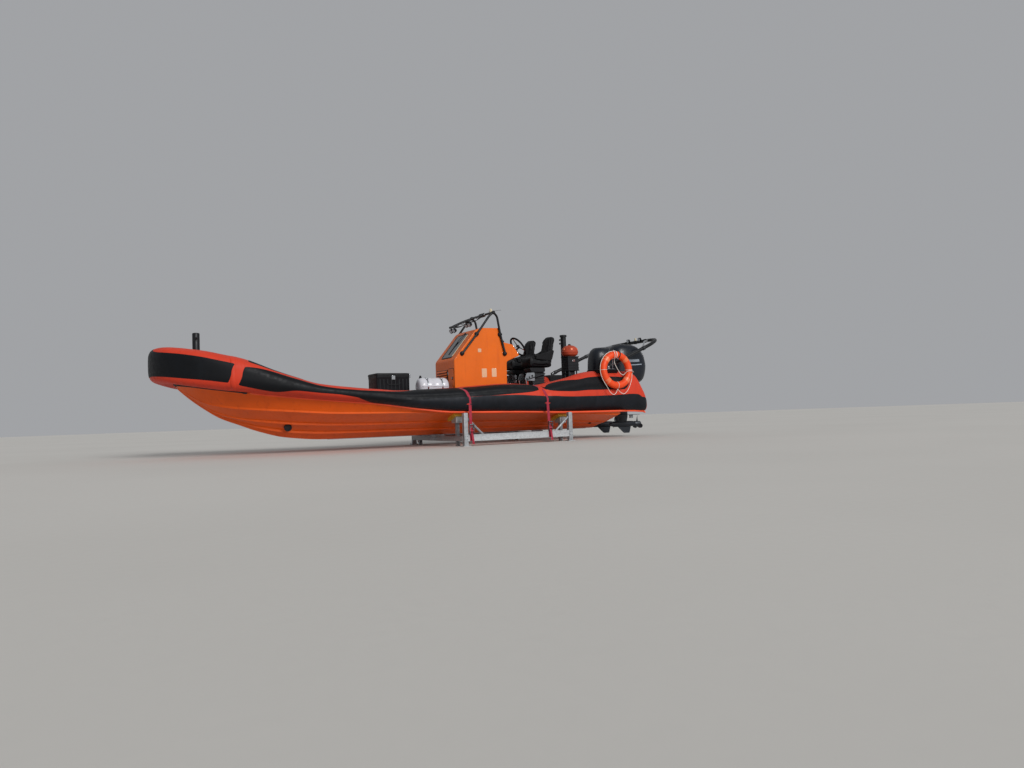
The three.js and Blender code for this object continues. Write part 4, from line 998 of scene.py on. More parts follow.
CONSOLE_OUTLINE = [
    (-1330, FOOT), (-330, FOOT), (-330, 1440), (-750, 1950), (-850, 1990), (-1230, 1995), (-1275, 1750), (-1470, 1710),
    (-1600, 1520), (-1340, 1410),
]
CONSOLE_HALF = 400
CONSOLE_CORNER = 34
FLANGE = (DECK_TOP + 0.5, 834)
HELM_SPOT, HELM_WAY = (-1535, 0, 1615), (-math.cos(0.6), 0, math.sin(0.6))
HELM_Y, WHEEL_OUT = 300, 115
SCREEN_SPOT, SCREEN_WAY = (-540, 0, 1695), (0.772, 0, 0.636)
SCREEN_HALF_WIDTH, SCREEN_HALF_HEIGHT = 210, 260
PAINTED_HIGHLIGHT_EDGE = 1  # the pane's local x runs to port; the strip on this edge is white, a painted highlight of sun glinting along it
CORNERS = ((-1, -1), (1, -1), (1, 1), (-1, 1))


def console_shell():
    """Console moulding and its flange, bolted to the deck."""
    shape = Shape("console_shell", console_gelcoat)
    shape.slab(closed_round(CONSOLE_OUTLINE, CONSOLE_CORNER), -CONSOLE_HALF, CONSOLE_HALF)
    shape.build("console", slot="gelcoat", bevel=mm("console_edge"), segments=4, crease=30)
    trim = Shape("console_trim", gasket_rubber, console_gelcoat, black_moulding, stainless)
    # Deck flange with its bolts
    for side in HANDS:
        edge = side * (CONSOLE_HALF + 26)
        trim.box((-1360, -300), sorted((side * (CONSOLE_HALF - 10), edge)), FLANGE, 1)
        bolt_heads(trim, [(x, side * (CONSOLE_HALF + 14), FLANGE[1]) for x in spread(-1300, -360, 7)], UP, 5, 3)
    for low, high in ((-1364, -1320), (-340, -296)):
        trim.box((low, high), (-CONSOLE_HALF - 26, CONSOLE_HALF + 26), FLANGE, 1)
    bolt_heads(trim, [(-312, y, FLANGE[1]) for y in spread(-340, 340, 5)], UP, 5, 3)
    trim.build(slot="gelcoat", bevel=2)


def console_hatches():
    """Louvres and a locker door in front, a battery hatch to starboard and the door abaft."""
    shape = Shape("console_hatches", console_gelcoat, gasket_rubber, stainless, black_moulding)
    # Louvre panel on the front, its slats leaning down and out over a black board that is painted shade in the gaps
    # between them
    front = -330
    shape.box((front - 4, front + 8), (-330, 130), (1006, 1284), 3)
    slat = ((8, 26), (26, -4), (22, -9), (6, 18))
    for z in spread(1030, 1250, 6):
        shape.slab([(front + a, z + b) for a, b in slat], -312, 112)
    # Round-cornered doors: frame, gap and panel
    for spot, way, wide, tall in (
        ((-330, 270, 1130), AHEAD, 90, 150),
        ((-830, -400, 1200), (0, -1, 0), 210, 230),
        ((-1334, 0, 1110), ASTERN, 260, 200),
    ):
        shape.place = facing(spot, way)
        for grow, low, high, finish in ((22, -2, 5, 1), (14, 4, 9, 0)):
            shape.plate(round_box((-wide, wide), (-tall, tall), 46, -grow), (low, high), finish)
        shape.lathe([(8, 26), (13, 26), (15, 22)], (wide - 30, 0, 0), UP, 24, 3)
        shape.box((wide - 52, wide - 8), (-6, 6), (14, 22), 2)
        for b in (-tall + 60, tall - 60):
            shape.lathe([(-26, 7), (26, 7)], (-wide - 18, b, 10), ABEAM, 12, 2)
    shape.place = Matrix.Identity(4)
    shape.build(slot="gelcoat", bevel=2)


def console_plates():
    """Small blank plates riveted to the console's sides."""
    shape = Shape("console_plates", blank_plate, stainless)
    for x, z, wide, tall in ((-893, 1213, 48, 76), (-1083, 1218, 46, 74), (-815, 1600, 32, 32)):
        for side in HANDS:
            level = side * CONSOLE_HALF
            face = level + side * 2
            shape.slab(round_box((x - wide, x + wide), (z - tall, z + tall), 10), *sorted((level, face)))
            for a, b in CORNERS:
                spot = (x + a * (wide - 9), face, z + b * (tall - 9))
                shape.lathe([(0, 4), (1.5, 4), (2, 2)], spot, (0, side, 0), 10, 1)
    shape.build(slot="gelcoat", bevel=0.6)


def windscreen():
    """Smoked pane in its rim, clamped all round, with a wiper."""
    shape = Shape("windscreen_pane", screen_acrylic, gasket_rubber, white_moulding, stainless)
    shape.place = facing(SCREEN_SPOT, SCREEN_WAY)
    a, b = SCREEN_HALF_WIDTH, SCREEN_HALF_HEIGHT
    shape.plate(round_box((-a, a), (-b, b), 34), (0.5, 7))
    shape.plate(round_box((-a, a), (-b, b), 44, -12), (0.4, 4), 1)
    # Clamping strips down both sides and across the ends: black, but white on the port edge as a painted highlight
    for s in (-1, 1):
        shape.box((s * (a + 2) - 9, s * (a + 2) + 9), (-b + 16, b - 16), (4, 11), 2 if s == PAINTED_HIGHLIGHT_EDGE else 1)
        shape.box((-a + 16, a - 16), (s * (b + 2) - 7, s * (b + 2) + 7), (4, 9), 1)
        for y in spread(-b + 40, b - 40, 6):
            shape.lathe([(10, 4.5), (12.5, 4.5), (13, 2)], (s * (a + 2), y, 0), UP, 10, 3)
    # Wiper arm with its spindle
    shape.lathe([(0, 16), (16, 15), (20, 9)], (60, b + 30, 0), UP, 20, 1)
    shape.pipe([(60, b + 30, 16), (20, 120, 20), (0, -20, 14)], 5, 8, 1)
    shape.box((-9, 9), (-190, 110), (9, 15), 1)
    shape.build("console_windscreen", slot="windscreen", bevel=1.2)


def dashboard():
    """Blank displays, dials, switches and the compass on the helm face."""
    shape = Shape("helm_dashboard", black_moulding, dial_glass, stainless, gasket_rubber, white_moulding)
    shape.place = facing(HELM_SPOT, HELM_WAY)
    shape.plate(round_box((-372, 372), (-104, 104), 26), (0, 5))
    # Local x runs to starboard: displays amidships and to starboard, dials above the wheel
    for x, y, wide, tall in ((60, 18, 96, 66), (270, 18, 88, 66)):
        shape.box((x - wide, x + wide), (y - tall, y + tall), (4, 16))
        shape.box((x - wide + 12, x + wide - 12), (y - tall + 12, y + tall - 12), (15, 18), 1)
    for x, y in ((-350, 70), (-250, 70), (-350, -70), (-250, -70)):
        shape.lathe([(0, 32), (10, 32), (14, 28), (12, 25), (8, 24)], (x, y, 4), UP, 28, 2)
        shape.lathe([(0, 24), (9, 24)], (x, y, 4), UP, 28, 1)
    for i in range(6):
        x = 190 + 32 * i
        shape.box((x - 10, x + 10), (-86, -60), (4, 9), 3)
        shape.box((x - 6, x + 6), (-82, -64), (8, 15), 0)
    shape.lathe([(-20, 26), (WHEEL_OUT - 20, 20), (WHEEL_OUT + 20, 10)], (-HELM_Y, 0, 0), UP, 24, 2)
    shape.place = Matrix.Identity(4)
    # Compass on the ledge over the helm face
    bowl = [(0, 62), (14, 62), (22, 52), (40, 50), (58, 38), (68, 14), (70, 1)]
    shape.lathe(bowl, (-1370, 150, 1740), (-0.1, 0, 1), 28)
    shape.lathe([(0, 46), (24, 40), (34, 22), (36, 1)], (-1384, 150, 1780), (-0.5, 0, 1), 24, 1)
    shape.build(slot="black_moulding", bevel=1.2)


def steering_wheel():
    shape = Shape("wheel_rim", black_moulding, stainless, seat_vinyl)
    spot = Vector(HELM_SPOT) + Vector((0, HELM_Y, 0)) + Vector(HELM_WAY) * WHEEL_OUT
    shape.place = facing(spot, HELM_WAY)
    shape.pipe([(a, b, 0) for a, b in circle(180, 65)], mm("wheel_grip"), 14, 2)
    for turn in (90, 210, 330):
        way = Vector((cosd(turn), sind(turn), 0))
        across = Vector((-way.y, way.x, 0))
        rings = []
        for reach, half, level in ((30, 19, 4), (80, 14, 0), (130, 12, -3), (172, 17, 0)):
            centre = way * reach + Vector((0, 0, level))
            corners = ((half, 4), (-half, 4), (-half, -4), (half, -4))
            rings.append([centre + across * a + Vector((0, 0, b)) for a, b in corners])
        shape.skin(rings, 1)
    shape.lathe([(-14, 38), (12, 38), (18, 34), (22, 20), (23, 1)], (0, 0, 0), UP, 28)
    shape.build("steering_wheel", body="wheel", slot="black_moulding", bevel=1.5)


def throttle():
    shape = Shape("throttle_levers", black_moulding, stainless)
    shape.place = facing((-1535, -20, 1615), HELM_WAY)
    boot = ((34, 42, 0), (34, 40, 40), (26, 28, 86))
    shape.skin([[(a * wide, b * deep, level) for a, b in CORNERS] for wide, deep, level in boot])
    for x in (-12, 12):
        shape.pipe([(x, 0, 70), (x, 12, 120), (x, 34, 176)], 6, 10, 1)
        shape.lathe([(0, 5), (6, 13), (20, 14), (30, 10), (33, 2)], (x, 34, 172), (0, 0.35, 1), 16)
    shape.build("throttle", slot="black_moulding", bevel=4, segments=3)


# Frame and light mast over the console

FRAME_Y, FRAME_RADIUS = 425, 19
HOOP = [(-480, 1545), (-765, 1880), (-1010, 2200), (-1090, 2262), (-1160, 2200), (-1215, 1880), (-1300, 1545)]
HOOP_FEET = HOOP[:2] + HOOP[-2:]
MAST_X, MAST_Z, MAST_LENGTH, MAST_DROOP = -1090, 2262, 640, math.radians(20.6)


def console_hoops():
    """Two hoops over the console, their feet, and the bar that carries the light mast."""
    shape = Shape("console_hoops", black_powder_coat, black_moulding, stainless, white_moulding)
    for side in HANDS:
        y = side * FRAME_Y
        shape.pipe(rounded([(x, y, z) for x, z in HOOP], 70, 7), FRAME_RADIUS, 16)
        for x, z in HOOP_FEET:
            base = (x, side * (CONSOLE_HALF - 1), z)
            shape.lathe([(0, 40), (5, 40), (9, 34), (14, 24)], base, (0, side, 0), 28)
            shape.lathe([(8, 18), (16, 30), (26, 35), (38, 30), (45, 16), (47, 2)], base, (0, side, 0), 24, 1)
            for turn in (30, 150, 270):
                spot = (x + 32 * cosd(turn), side * (CONSOLE_HALF + 4), z + 32 * sind(turn))
                shape.lathe([(0, 4.5), (3, 4), (4, 1)], spot, (0, side, 0), 10, 2)
        shape.lathe([(-30, 24), (-26, 27), (26, 27), (30, 24)], (MAST_X, y, MAST_Z), ABEAM, 24)
    shape.pipe([(MAST_X, -FRAME_Y, MAST_Z), (MAST_X, FRAME_Y, MAST_Z)], FRAME_RADIUS, 20)
    # Collars each side of the mast, a white all-round lamp and a short whip aerial
    for y in (-102, 102):
        shape.lathe([(-10, 26), (10, 26)], (MAST_X, y, MAST_Z), ABEAM, 24, 2)
    allround = [(0, 20), (20, 20), (24, 25), (30, 25), (34, 21), (58, 21), (64, 12), (66, 2)]
    shape.lathe(allround, (MAST_X - 4, 330, MAST_Z + 12), UP, 22, 3)
    whip = [(MAST_X, 250, MAST_Z + 10), (MAST_X - 20, 250, MAST_Z + 40), (MAST_X - 250, 252, MAST_Z + 72)]
    shape.pipe(whip, 2.6, 8)
    shape.build("console_frame", slot="black_coated_metal", bevel=0.8)


def mast_point(out, y, drop=0.0):
    """A point out along the light mast from its hinge, drop under its line."""
    c, s = math.cos(MAST_DROOP), math.sin(MAST_DROOP)
    return (MAST_X + out * c - drop * s, y, MAST_Z - out * s - drop * c)


def lamp(shape, base, way, size, body=0, glass=1):
    """A round work lamp, shining along way."""
    way = Vector(way).normalized()
    case = [(-size, size * 0.5), (-size * 0.75, size * 0.85), (size * 0.35, size), (size * 0.5, size)]
    shape.lathe(case, base, way, 24, body)
    shape.lathe([(size * 0.48, size * 0.86), (size * 0.56, size * 0.8), (size * 0.6, 2)], base, way, 24, glass)


def light_mast():
    """Two spars folded forward, with work lamps and the cables laced along them."""
    shape = Shape("light_mast_spars", black_powder_coat, lamp_glass, gasket_rubber, stainless)
    for y in (-60, 60):
        outs = spread(26, MAST_LENGTH, 14)
        shape.pipe([mast_point(out, y, -16 * math.sin(math.pi * out / MAST_LENGTH)) for out in outs], 16, 14)
    shape.lathe([(-84, 30), (-80, 36), (80, 36), (84, 30)], (MAST_X, 0, MAST_Z), ABEAM, 28)
    for out in (320, MAST_LENGTH):
        shape.pipe([mast_point(out, -82), mast_point(out, 82)], 20, 16)
        for y in (-58, 58):
            shape.box(*spans(mast_point(out - 14, y - 12, 16), mast_point(out + 14, y + 12, 60)))
            lamp(shape, mast_point(out + 6, y, 66), (0.86, 0.2, -0.5), mm("lamp_radius"))
    # One cable laced along a spar, two in loops under the mast
    lace = [mast_point(out, 60 + 20 * math.cos(out / 17), 20 * math.sin(out / 17)) for out in spread(40, 600, 120)]
    shape.pipe(lace, 4.5, 6, 2)
    for hang, y in ((26, 44), (34, -30)):
        outs = spread(40, 600, 41)
        sags = [14 + hang * abs(math.sin(math.pi * (out - 40) / 280)) ** 0.8 for out in outs]
        shape.pipe([mast_point(out, y, sag) for out, sag in zip(outs, sags)], 6, 8, 2)
    shape.build("console_mast", body="light_mast", slot="black_coated_metal", bevel=1)


# Seats

SEAT_Y, SEAT_HALF = 330, 190


def seat_base(side):
    """Moulded pod with a sprung frame, drilled side plates and a foot bar."""
    name = HANDS[side]
    shape = Shape(f"seat_pod_{name}", black_moulding, stainless, black_powder_coat, gasket_rubber, side=side)
    slats = [([(-2094, z), (-1846, z), (-1842, z + 20), (-2096, z + 20)], 8, 80, 3) for z in range(1020, 1197, 44)]
    for outline, reach, half, finish in (
        ([(-2120, FOOT), (-1820, FOOT), (-1835, 1000), (-2110, 1000)], 24, 128, 0),
        ([(-2085, 990), (-1855, 990), (-1800, 1232), (-2085, 1232)], 20, 72, 3),
        *slats,
        ([(-2084, 1224), (-1800, 1224), (-1770, 1298), (-2084, 1298)], 20, 120, 0),
    ):
        shape.slab(closed_round(outline, reach), SEAT_Y - half, SEAT_Y + half, finish)
    for s in (-1, 1):
        y = SEAT_Y + s * 122
        plate = closed_round([(-1862, 1062), (-1668, 1076), (-1662, 1104), (-1700, 1206), (-1862, 1214)], 22)
        shape.slab(plate, y - 2.5, y + 2.5, 1)
        for x, z, r in ((-1700, 1104, 15), (-1752, 1130, 17), (-1812, 1152, 20)):
            shape.lathe([(-3.4, r), (3.4, r)], (x, y, z), ABEAM, 20, 3)
        shape.pipe(rounded([(-2080, y, 1190), (-1862, y, 1130), (-1690, y, 1086)], 30), 11, 12, 2)
        shape.pipe(rounded([(-1680, y, 1090), (-1700, y, 950), (-1760, y, 835)], 40), 12, 12, 1)
    shape.pipe([(-1690, SEAT_Y - 130, 960), (-1690, SEAT_Y + 130, 960)], 13, 14, 1)
    bolt_heads(shape, [(x, SEAT_Y + s * 108, 1000) for x in (-2090, -1850) for s in (-1, 1)], UP, 5, 1)
    shape.build(f"seat_base_{name}", slot="black_moulding", bevel=3)


SWELL_FRAMES, SWELL_VOXEL = 20, 0.006


def swell(made):
    """Puffs a cushion out under pressure, keeps the result and smooths it once."""
    remesh = made.modifiers.new("voxels", "REMESH")
    remesh.mode = "VOXEL"
    remesh.voxel_size = SWELL_VOXEL
    scene, view = bpy.context.scene, bpy.context.view_layer
    view.update()
    start = bpy.data.meshes.new_from_object(made.evaluated_get(bpy.context.evaluated_depsgraph_get()))
    made.modifiers.clear()
    made.data = start
    rest = [v.co.copy() for v in start.vertices]
    cloth = made.modifiers.new("puff", "CLOTH").settings
    cloth.quality = 4
    cloth.mass = 0.4
    cloth.tension_stiffness = cloth.compression_stiffness = 30
    cloth.bending_stiffness = 2.0
    cloth.use_pressure = True
    cloth.uniform_pressure_force = 4.0
    cloth.effector_weights.gravity = 0.0
    for step in range(1, SWELL_FRAMES + 1):
        scene.frame_set(step)
        view.update()
    swollen = bpy.data.meshes.new_from_object(made.evaluated_get(bpy.context.evaluated_depsgraph_get()))
    made.modifiers.clear()
    scene.frame_set(1)
    cap = scene.boat_sizes.seat_swell
    for vertex, home in zip(swollen.vertices, rest):
        move = vertex.co - home
        if move.length > cap:
            vertex.co = home + move.normalized() * cap
    made.data = swollen
    swollen.shade_smooth()
    smooth = made.modifiers.new("smooth", "SUBSURF")
    smooth.levels = smooth.render_levels = 1


def seat_cushions():
    """Seat pad and back rest, swollen once and copied to both seats, and two side rolls with piping on each seat."""
    pad = [(-1752, 1322), (-2186, 1312), (-2196, 1350), (-2150, 1470), (-2070, 1462), (-1778, 1488), (-1745, 1460)]
    back = [(-2196, 1352), (-2124, 1480), (-2200, 1810), (-2246, 1872), (-2298, 1872), (-2318, 1832)]
    roll = [(-1850, 1452), (-2190, 1420), (-2246, 1600), (-2200, 1612), (-2120, 1560), (-1900, 1524)]
    roll = closed_round(roll, 40)

    def pad_half(x, z):
        return SEAT_HALF - 22 + 6 * math.sin((x + 1750) / 90)

    def back_half(x, z):
        up = max(0.0, (z - 1700) / 190)
        waist = 150 + 26 * max(0.0, (1560 - z) / 200)
        return (waist - 12) * math.sqrt(max(0.05, 1 - up * up))

    for label, profile, half, fill in (
        ("seat_pad", closed_round(pad, 40), pad_half, 0.8),
        ("seat_back", closed_round(back, 34), back_half, 0.85),
    ):
        shape = Shape(f"{label}_port", seat_vinyl)
        shape.skin([[(x, share * half(x, z), z) for x, z in profile] for share in spread(-1, 1, 9)])
        shape.points = [(x, y + SEAT_Y, z) for x, y, z in shape.points]
        made = shape.build("seat_port", slot="cushion")
        swell(made)
        twin = made.copy()
        twin.data = made.data.copy()
        twin.data.transform(Matrix.Translation((0, -2 * SEAT_Y / 1000, 0)))
        twin.name = f"{label}_starboard"
        bpy.context.scene.collection.objects.link(twin)
        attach(twin, "boat")
        twin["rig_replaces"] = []
        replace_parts(twin, "seat_starboard")
    for side, name in HANDS.items():
        rolls = Shape(f"seat_rolls_{name}", seat_vinyl, gasket_rubber, side=side)
        for s in (-1, 1):
            y = SEAT_Y + s * (SEAT_HALF - 20)
            rolls.slab(roll, y - 20, y + 20)
            rolls.pipe(rounded([(-1850, y, 1500), (-2110, y, 1556), (-2200, y, 1606)], 60), 20, 14)
        # Piping along the seams of pad and back
        for s in (-1, 1):
            y = SEAT_Y + s * (SEAT_HALF - 34)
            rolls.pipe(rounded([(-1752, y, 1470), (-1790, y, 1492), (-2050, y, 1472)], 20), 4, 8, 1)
        made = rolls.build(f"seat_{name}", slot="cushion", bevel=14, segments=4)


# Deck gear

LOCKER_X, LOCKER_HALF, LOCKER_RIM = (400, 980), 220, 1190


def deck_locker():
    """Moulded case with ribs, rope handles and latches."""
    shape = Shape("deck_locker_case", black_moulding, stainless, gasket_rubber)
    low, high = LOCKER_X
    sides = (-LOCKER_HALF, LOCKER_HALF)
    levels = ((FOOT, 10), (850, 4), (LOCKER_RIM - 46, 3), (LOCKER_RIM - 40, 0), (LOCKER_RIM, 0))
    shape.skin([[(x, y, z) for x, y in round_box(LOCKER_X, sides, 36, inset)] for z, inset in levels])
    for side in HANDS:
        for x in spread(low + 60, high - 60, 8):
            y = side * LOCKER_HALF
            corners = ((-1, -6), (1, -6), (0.6, 2), (-0.6, 2))
            shape.skin([[(x + a * 13, y + side * b, z) for a, b in corners] for z in (862, 1130)])
        shape.box((low + 260, low + 320), sorted((side * LOCKER_HALF, side * (LOCKER_HALF + 5))), (1120, 1186), 1)
        handle = [(180, 222, 1080), (190, 232, 1040), (390, 232, 1040), (400, 222, 1080)]
        shape.pipe(rounded([(low + x, side * y, z) for x, y, z in handle], 30), 6, 8, 2)
    hinge_x, hinge_z = LOCKER_X[0] - 14, LOCKER_RIM + 10
    shape.pipe([(hinge_x, -196, hinge_z), (hinge_x, 196, hinge_z)], 5, 12, 1)
    for y in (-190, 190):
        shape.box((hinge_x - 8, low + 4), (y - 8, y + 8), (LOCKER_RIM - 40, hinge_z + 8), 1)
    shape.build("locker_box", slot="black_moulding", bevel=3, segments=3)
    lid = Shape("deck_locker_top", black_moulding, stainless)
    brim = ((low, high + 5), (-LOCKER_HALF - 5, LOCKER_HALF + 5))
    levels = ((LOCKER_RIM + 1, 0), (LOCKER_RIM + 28, 0), (LOCKER_RIM + 38, 14))
    lid.skin([[(x, y, z) for x, y in round_box(*brim, 40, inset)] for z, inset in levels])
    for y in spread(-150, 150, 4):
        lid.box((low + 70, high - 70), (y - 18, y + 18), (LOCKER_RIM + 34, LOCKER_RIM + 40))
    lid.pipe([(hinge_x, -168, hinge_z), (hinge_x, 168, hinge_z)], 10, 16, 1)
    lid.box((hinge_x, low + 12), (-168, 168), (hinge_z, hinge_z + 10), 1)
    lid.build("locker_lid", body="locker_lid", slot="black_moulding", bevel=3, segments=3)


RAFT_X, RAFT_Y, RAFT_Z, RAFT_RADIUS = (-250, 290), 255, 995, 150


def liferaft():
    """Canister of two half shells, banded shut, with a drain plug and a handle."""
    shape = Shape("liferaft_shell", white_shell, stainless, black_moulding, blank_plate)
    aft, fore = RAFT_X
    length = fore - aft
    end = [(0, 62), (6, 96), (20, 124), (44, 142), (74, 149)]
    profile = [(0, 1), *end]
    for start, stop in ((120, 162), (238, 302), (378, 420)):  # shallow grooves for the bands
        profile += [(start, 149), (start + 6, 146), (stop - 6, 146), (stop, 149)]
    profile += [*[(length - along, r) for along, r in reversed(end)], (length, 1)]
    shape.lathe(profile, (aft, RAFT_Y, RAFT_Z), AHEAD, 48)
    # Flange between the half shells
    for s in (-1, 1):
        shape.box((aft + 40, fore - 40), sorted((RAFT_Y + s * 140, RAFT_Y + s * 156)), (RAFT_Z - 5, RAFT_Z + 5), 0)
    for along in (141, 399):
        band = [(aft + along, RAFT_Y + a, RAFT_Z + b) for a, b in circle(RAFT_RADIUS, 49)]
        shape.ribbon(band, AHEAD, 22, 2.5, 1)
        shape.box((aft + along - 16, aft + along + 16), (RAFT_Y + 60, RAFT_Y + 110), (RAFT_Z + 118, RAFT_Z + 138), 1)
    shape.lathe([(-6, 24), (14, 24), (18, 18), (40, 16), (44, 8)], (fore - 60, RAFT_Y, RAFT_Z + 142), UP, 20, 2)
    handle = [(aft + 4, -44), (aft - 40, -44), (aft - 40, 44), (aft + 4, 44)]
    shape.pipe(rounded([(x, RAFT_Y + y, RAFT_Z + 20) for x, y in handle], 22), 6, 12, 1)
    shape.build("liferaft_canister", slot="white_shell", bevel=1)
    dress("liferaft_rack", stainless, 2)


TOW_X = -2780


def posts():
    """Towing post with its cap and pegs, and the bow mooring post."""
    shape = Shape("tow_post_column", black_powder_coat, stainless)
    shape.plate(round_box((TOW_X - 110, TOW_X + 110), (-110, 110), 18), (FOOT, 845))
    column = [(0, 70), (30, 56), (60, 52), (1080, 52), (1082, 66), (1114, 66), (1118, 60)]
    shape.lathe(column, (TOW_X, 0, FOOT), UP, 32)
    for z in (1780, 1850):
        shape.lathe([(0, 13), (70, 13), (74, 18), (84, 18), (86, 12)], (TOW_X, 0, z), AHEAD, 18)
    for side in HANDS:
        web = ((-60, 1, 845), (60, 1, 845), (8, 0, 990), (-8, 0, 990))
        shape.skin([[(TOW_X + x, side * (50 + foot * thick), z) for x, foot, z in web] for thick in (0, 7)])
    bolt_heads(shape, [(TOW_X + a, b, 845) for a in (-88, 88) for b in (-88, 88)], UP, 7, 1)
    shape.build("tow_post", slot="black_coated_metal", bevel=1.5)
    bow = Shape("bow_post_column", black_powder_coat, stainless)
    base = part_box("bow_post")[0].z * 1000
    bow.plate(round_box((3620, 3740), (-60, 60), 12), (base + 0.5, 1086))
    bow.lathe([(0, 58), (20, 52), (758, 52), (768, 47), (772, 30)], (3680, 0, 1078), UP, 36)
    bow.lathe([(-105, 9), (-101, 13), (101, 13), (105, 9)], (3680, 0, 1770), ABEAM, 18)
    bow.build("bow_post", slot="black_coated_metal", bevel=2)


STAND_X, STAND_Y, STAND_TOP = (-2760, -2520), (300, 540), 1500
BUOY_SPOT = (-2640, 420)


def buoy_stand():
    """Shelf over a louvred case on four legs, with a stowage box under it."""
    shape = Shape("buoy_shelf", black_moulding, black_powder_coat, stainless)
    low, high = STAND_X
    near, far = STAND_Y
    shape.box((low, high), (near, far), (STAND_TOP - 16, STAND_TOP))
    shape.box((low + 8, high - 8), (near + 8, far - 8), (1244, STAND_TOP - 20))
    shape.box((low, high), (near, far), (1238, 1256))
    for z in spread(1284, 1450, 4):
        shape.box((low + 4, high - 4), (near + 4, far - 4), (z, z + 12))
    for x in (low + 40, high - 40):
        for y in (near + 40, far - 40):
            shape.pipe([(x, y, FOOT), (x, y, 1250)], 13, 14, 1)
            shape.lathe([(0, 30), (5, 30), (12, 16)], (x, y, FOOT), UP, 20, 1)
    for y in (near + 40, far - 40):
        shape.pipe([(low + 40, y, 850), (high - 40, y, 1240)], 8, 10, 1)
    shape.box((low + 60, high - 60), (near + 60, far - 60), (FOOT, 1240))
    shape.box((low + 90, low + 150), (far - 1, far + 5), (1400, 1440), 2)
    shape.build("buoy_stand", slot="black_moulding", bevel=3)


def marker_buoy():
    # The shell's brick red is painted shade
    shape = Shape("marker_buoy_shell", shade_darkened_buoy_plastic, reflective_tape, black_moulding)
    x, y = BUOY_SPOT
    lower = [(0, 96), (10, 108), (28, 138), (48, 147), (70, 150), (74, 156), (88, 156), (92, 150)]
    upper = [(136, 141), (160, 128), (182, 103), (198, 66), (206, 34), (208, 28)]
    shape.lathe([(0, 2), *lower, *upper, (208, 2)], (x, y, STAND_TOP + 1), UP, 40)
    shape.lathe([(204, 26), (222, 24), (230, 16), (232, 2)], (x, y, STAND_TOP + 1), UP, 20, 2)
    for turn in range(12, 360, 60):
        out = Vector((cosd(turn), sind(turn), 0))
        spot = Vector((x, y, STAND_TOP + 128)) + out * 141
        shape.lathe([(-4, 21), (4, 21), (5.5, 18)], spot, out + Vector((0, 0, 0.22)), 20, 1)
    shape.build("marker_buoy", slot="orange_plastic", bevel=1)


def deck_details():
    """Hatches, tie-down rings and edge trim of the deck."""
    shape = Shape("deck_fittings", deck_moulding, stainless, gasket_rubber, black_moulding)
    for x, y, wide in ((1420, 0, 150), (-60, -230, 120), (-2330, 0, 150), (-3080, 0, 130)):
        for grow, low, high, finish in ((14, DECK_TOP, 829, 2), (0, 828, 834, 0)):
            around = ((x - wide, x + wide), (y - wide, y + wide))
            shape.plate(round_box(*around, 40, -grow), (low, high), finish)
        shape.lathe([(0, 26), (3, 26), (4, 20)], (x + wide - 44, y, 834), UP, 20, 1)
    for side in HANDS:
        for x in (1100, 120, -1500, -2250, -2950):
            y = side * 545
            shape.lathe([(0, 30), (4, 30), (6, 24)], (x, y, DECK_TOP), UP, 20, 1)
            shape.pipe([(x + a, y, 843 + b) for a, b in circle(22, 25)], 4, 8, 1)
        shape.pipe([(x, side * 592, 834) for x in spread(1500, -3280, 24)], 9, 8, 2)
    shape.build(slot="deck", bevel=1.5)
    for name in ("deck", "foredeck"):
        dress(name, deck_moulding, 4)


# Stern

ARCH_X, ARCH_Z, ARCH_Y, ARCH_RADIUS = -3100, 1275, 940, 32
ARCH_SIDE = [(-3100, 940, 1275), (-3580, 940, 1480), (-4080, 940, 1690), (-4300, 830, 1775), (-4450, 640, 1822),
             (-4480, 450, 1832)]


def arch_point(out, y, rise=0.0):
    """A point on the line of the arch's legs, out from the hinge and rise over it."""
    way = Vector((-500, 0, 211)).normalized()
    over = Vector((way.z, 0, -way.x))
    return tuple(Vector((ARCH_X, y, ARCH_Z)) + way * out + over * rise)


def stern_arch():
    """Arch of one bent tube with its hinge bosses, struts, fairleads and lamps."""
    shape = Shape("stern_arch_tubes", black_powder_coat, stainless, lamp_glass, white_moulding, black_moulding)
    half = [arch_point(34, 940), *ARCH_SIDE[1:]]
    route = rounded([*half, *[(x, -y, z) for x, y, z in reversed(half)]], 150, 9)
    shape.pipe(route, ARCH_RADIUS, 20)
    for side in HANDS:
        y = side * ARCH_Y
        shape.lathe([(-20, 26), (-16, 30), (16, 30), (20, 26)], (ARCH_X, y, ARCH_Z), ABEAM, 24)
        shape.box(*spans(arch_point(8, y - 16, -18), arch_point(60, y + 16, 18)))
        way = Vector(arch_point(1, y)) - Vector(arch_point(0, y))
        shape.lathe([(48, 36), (52, 38), (90, 38), (96, 33)], arch_point(0, y), way, 20)
        # Polished inner struts and their clamps
        strut = [arch_point(900, side * 925, 10), arch_point(1150, side * 700, 58), arch_point(1484, side * 410, -20)]
        shape.pipe(rounded(strut, 120), 15, 14, 1)
        shape.lathe([(-24, 38), (24, 38)], arch_point(900, y), way, 20)
    # Fairlead plates and lamps on the crossbar
    for y in (-300, 0, 300):
        shape.lathe([(-26, 37), (26, 37)], (-4480, y, 1832), ABEAM, 20, 4)
    for y in (180, -180):
        lamp(shape, (-4440, y, 1872), (1, 0, -0.25), 36, 4, 2)
    shape.lathe([(0, 24), (12, 24), (16, 18), (50, 18), (58, 8), (60, 1)], (-4480, 0, 1860), UP, 20, 3)
    shape.build("stern_arch", body="arch", slot="black_coated_metal", bevel=1.2)
    for name in HANDS.values():
        dress(f"arch_bracket_{name}", stainless, 2)


RING_SPOT, RING_LEAN = (-3180, 1084, 1211), math.radians(3.5)
RING_MAJOR, RING_MINOR = 275, 63
RING_BANDS = (42, 138, 222, 318)
GIRTHS = spread(0, 360, 29)[:-1]


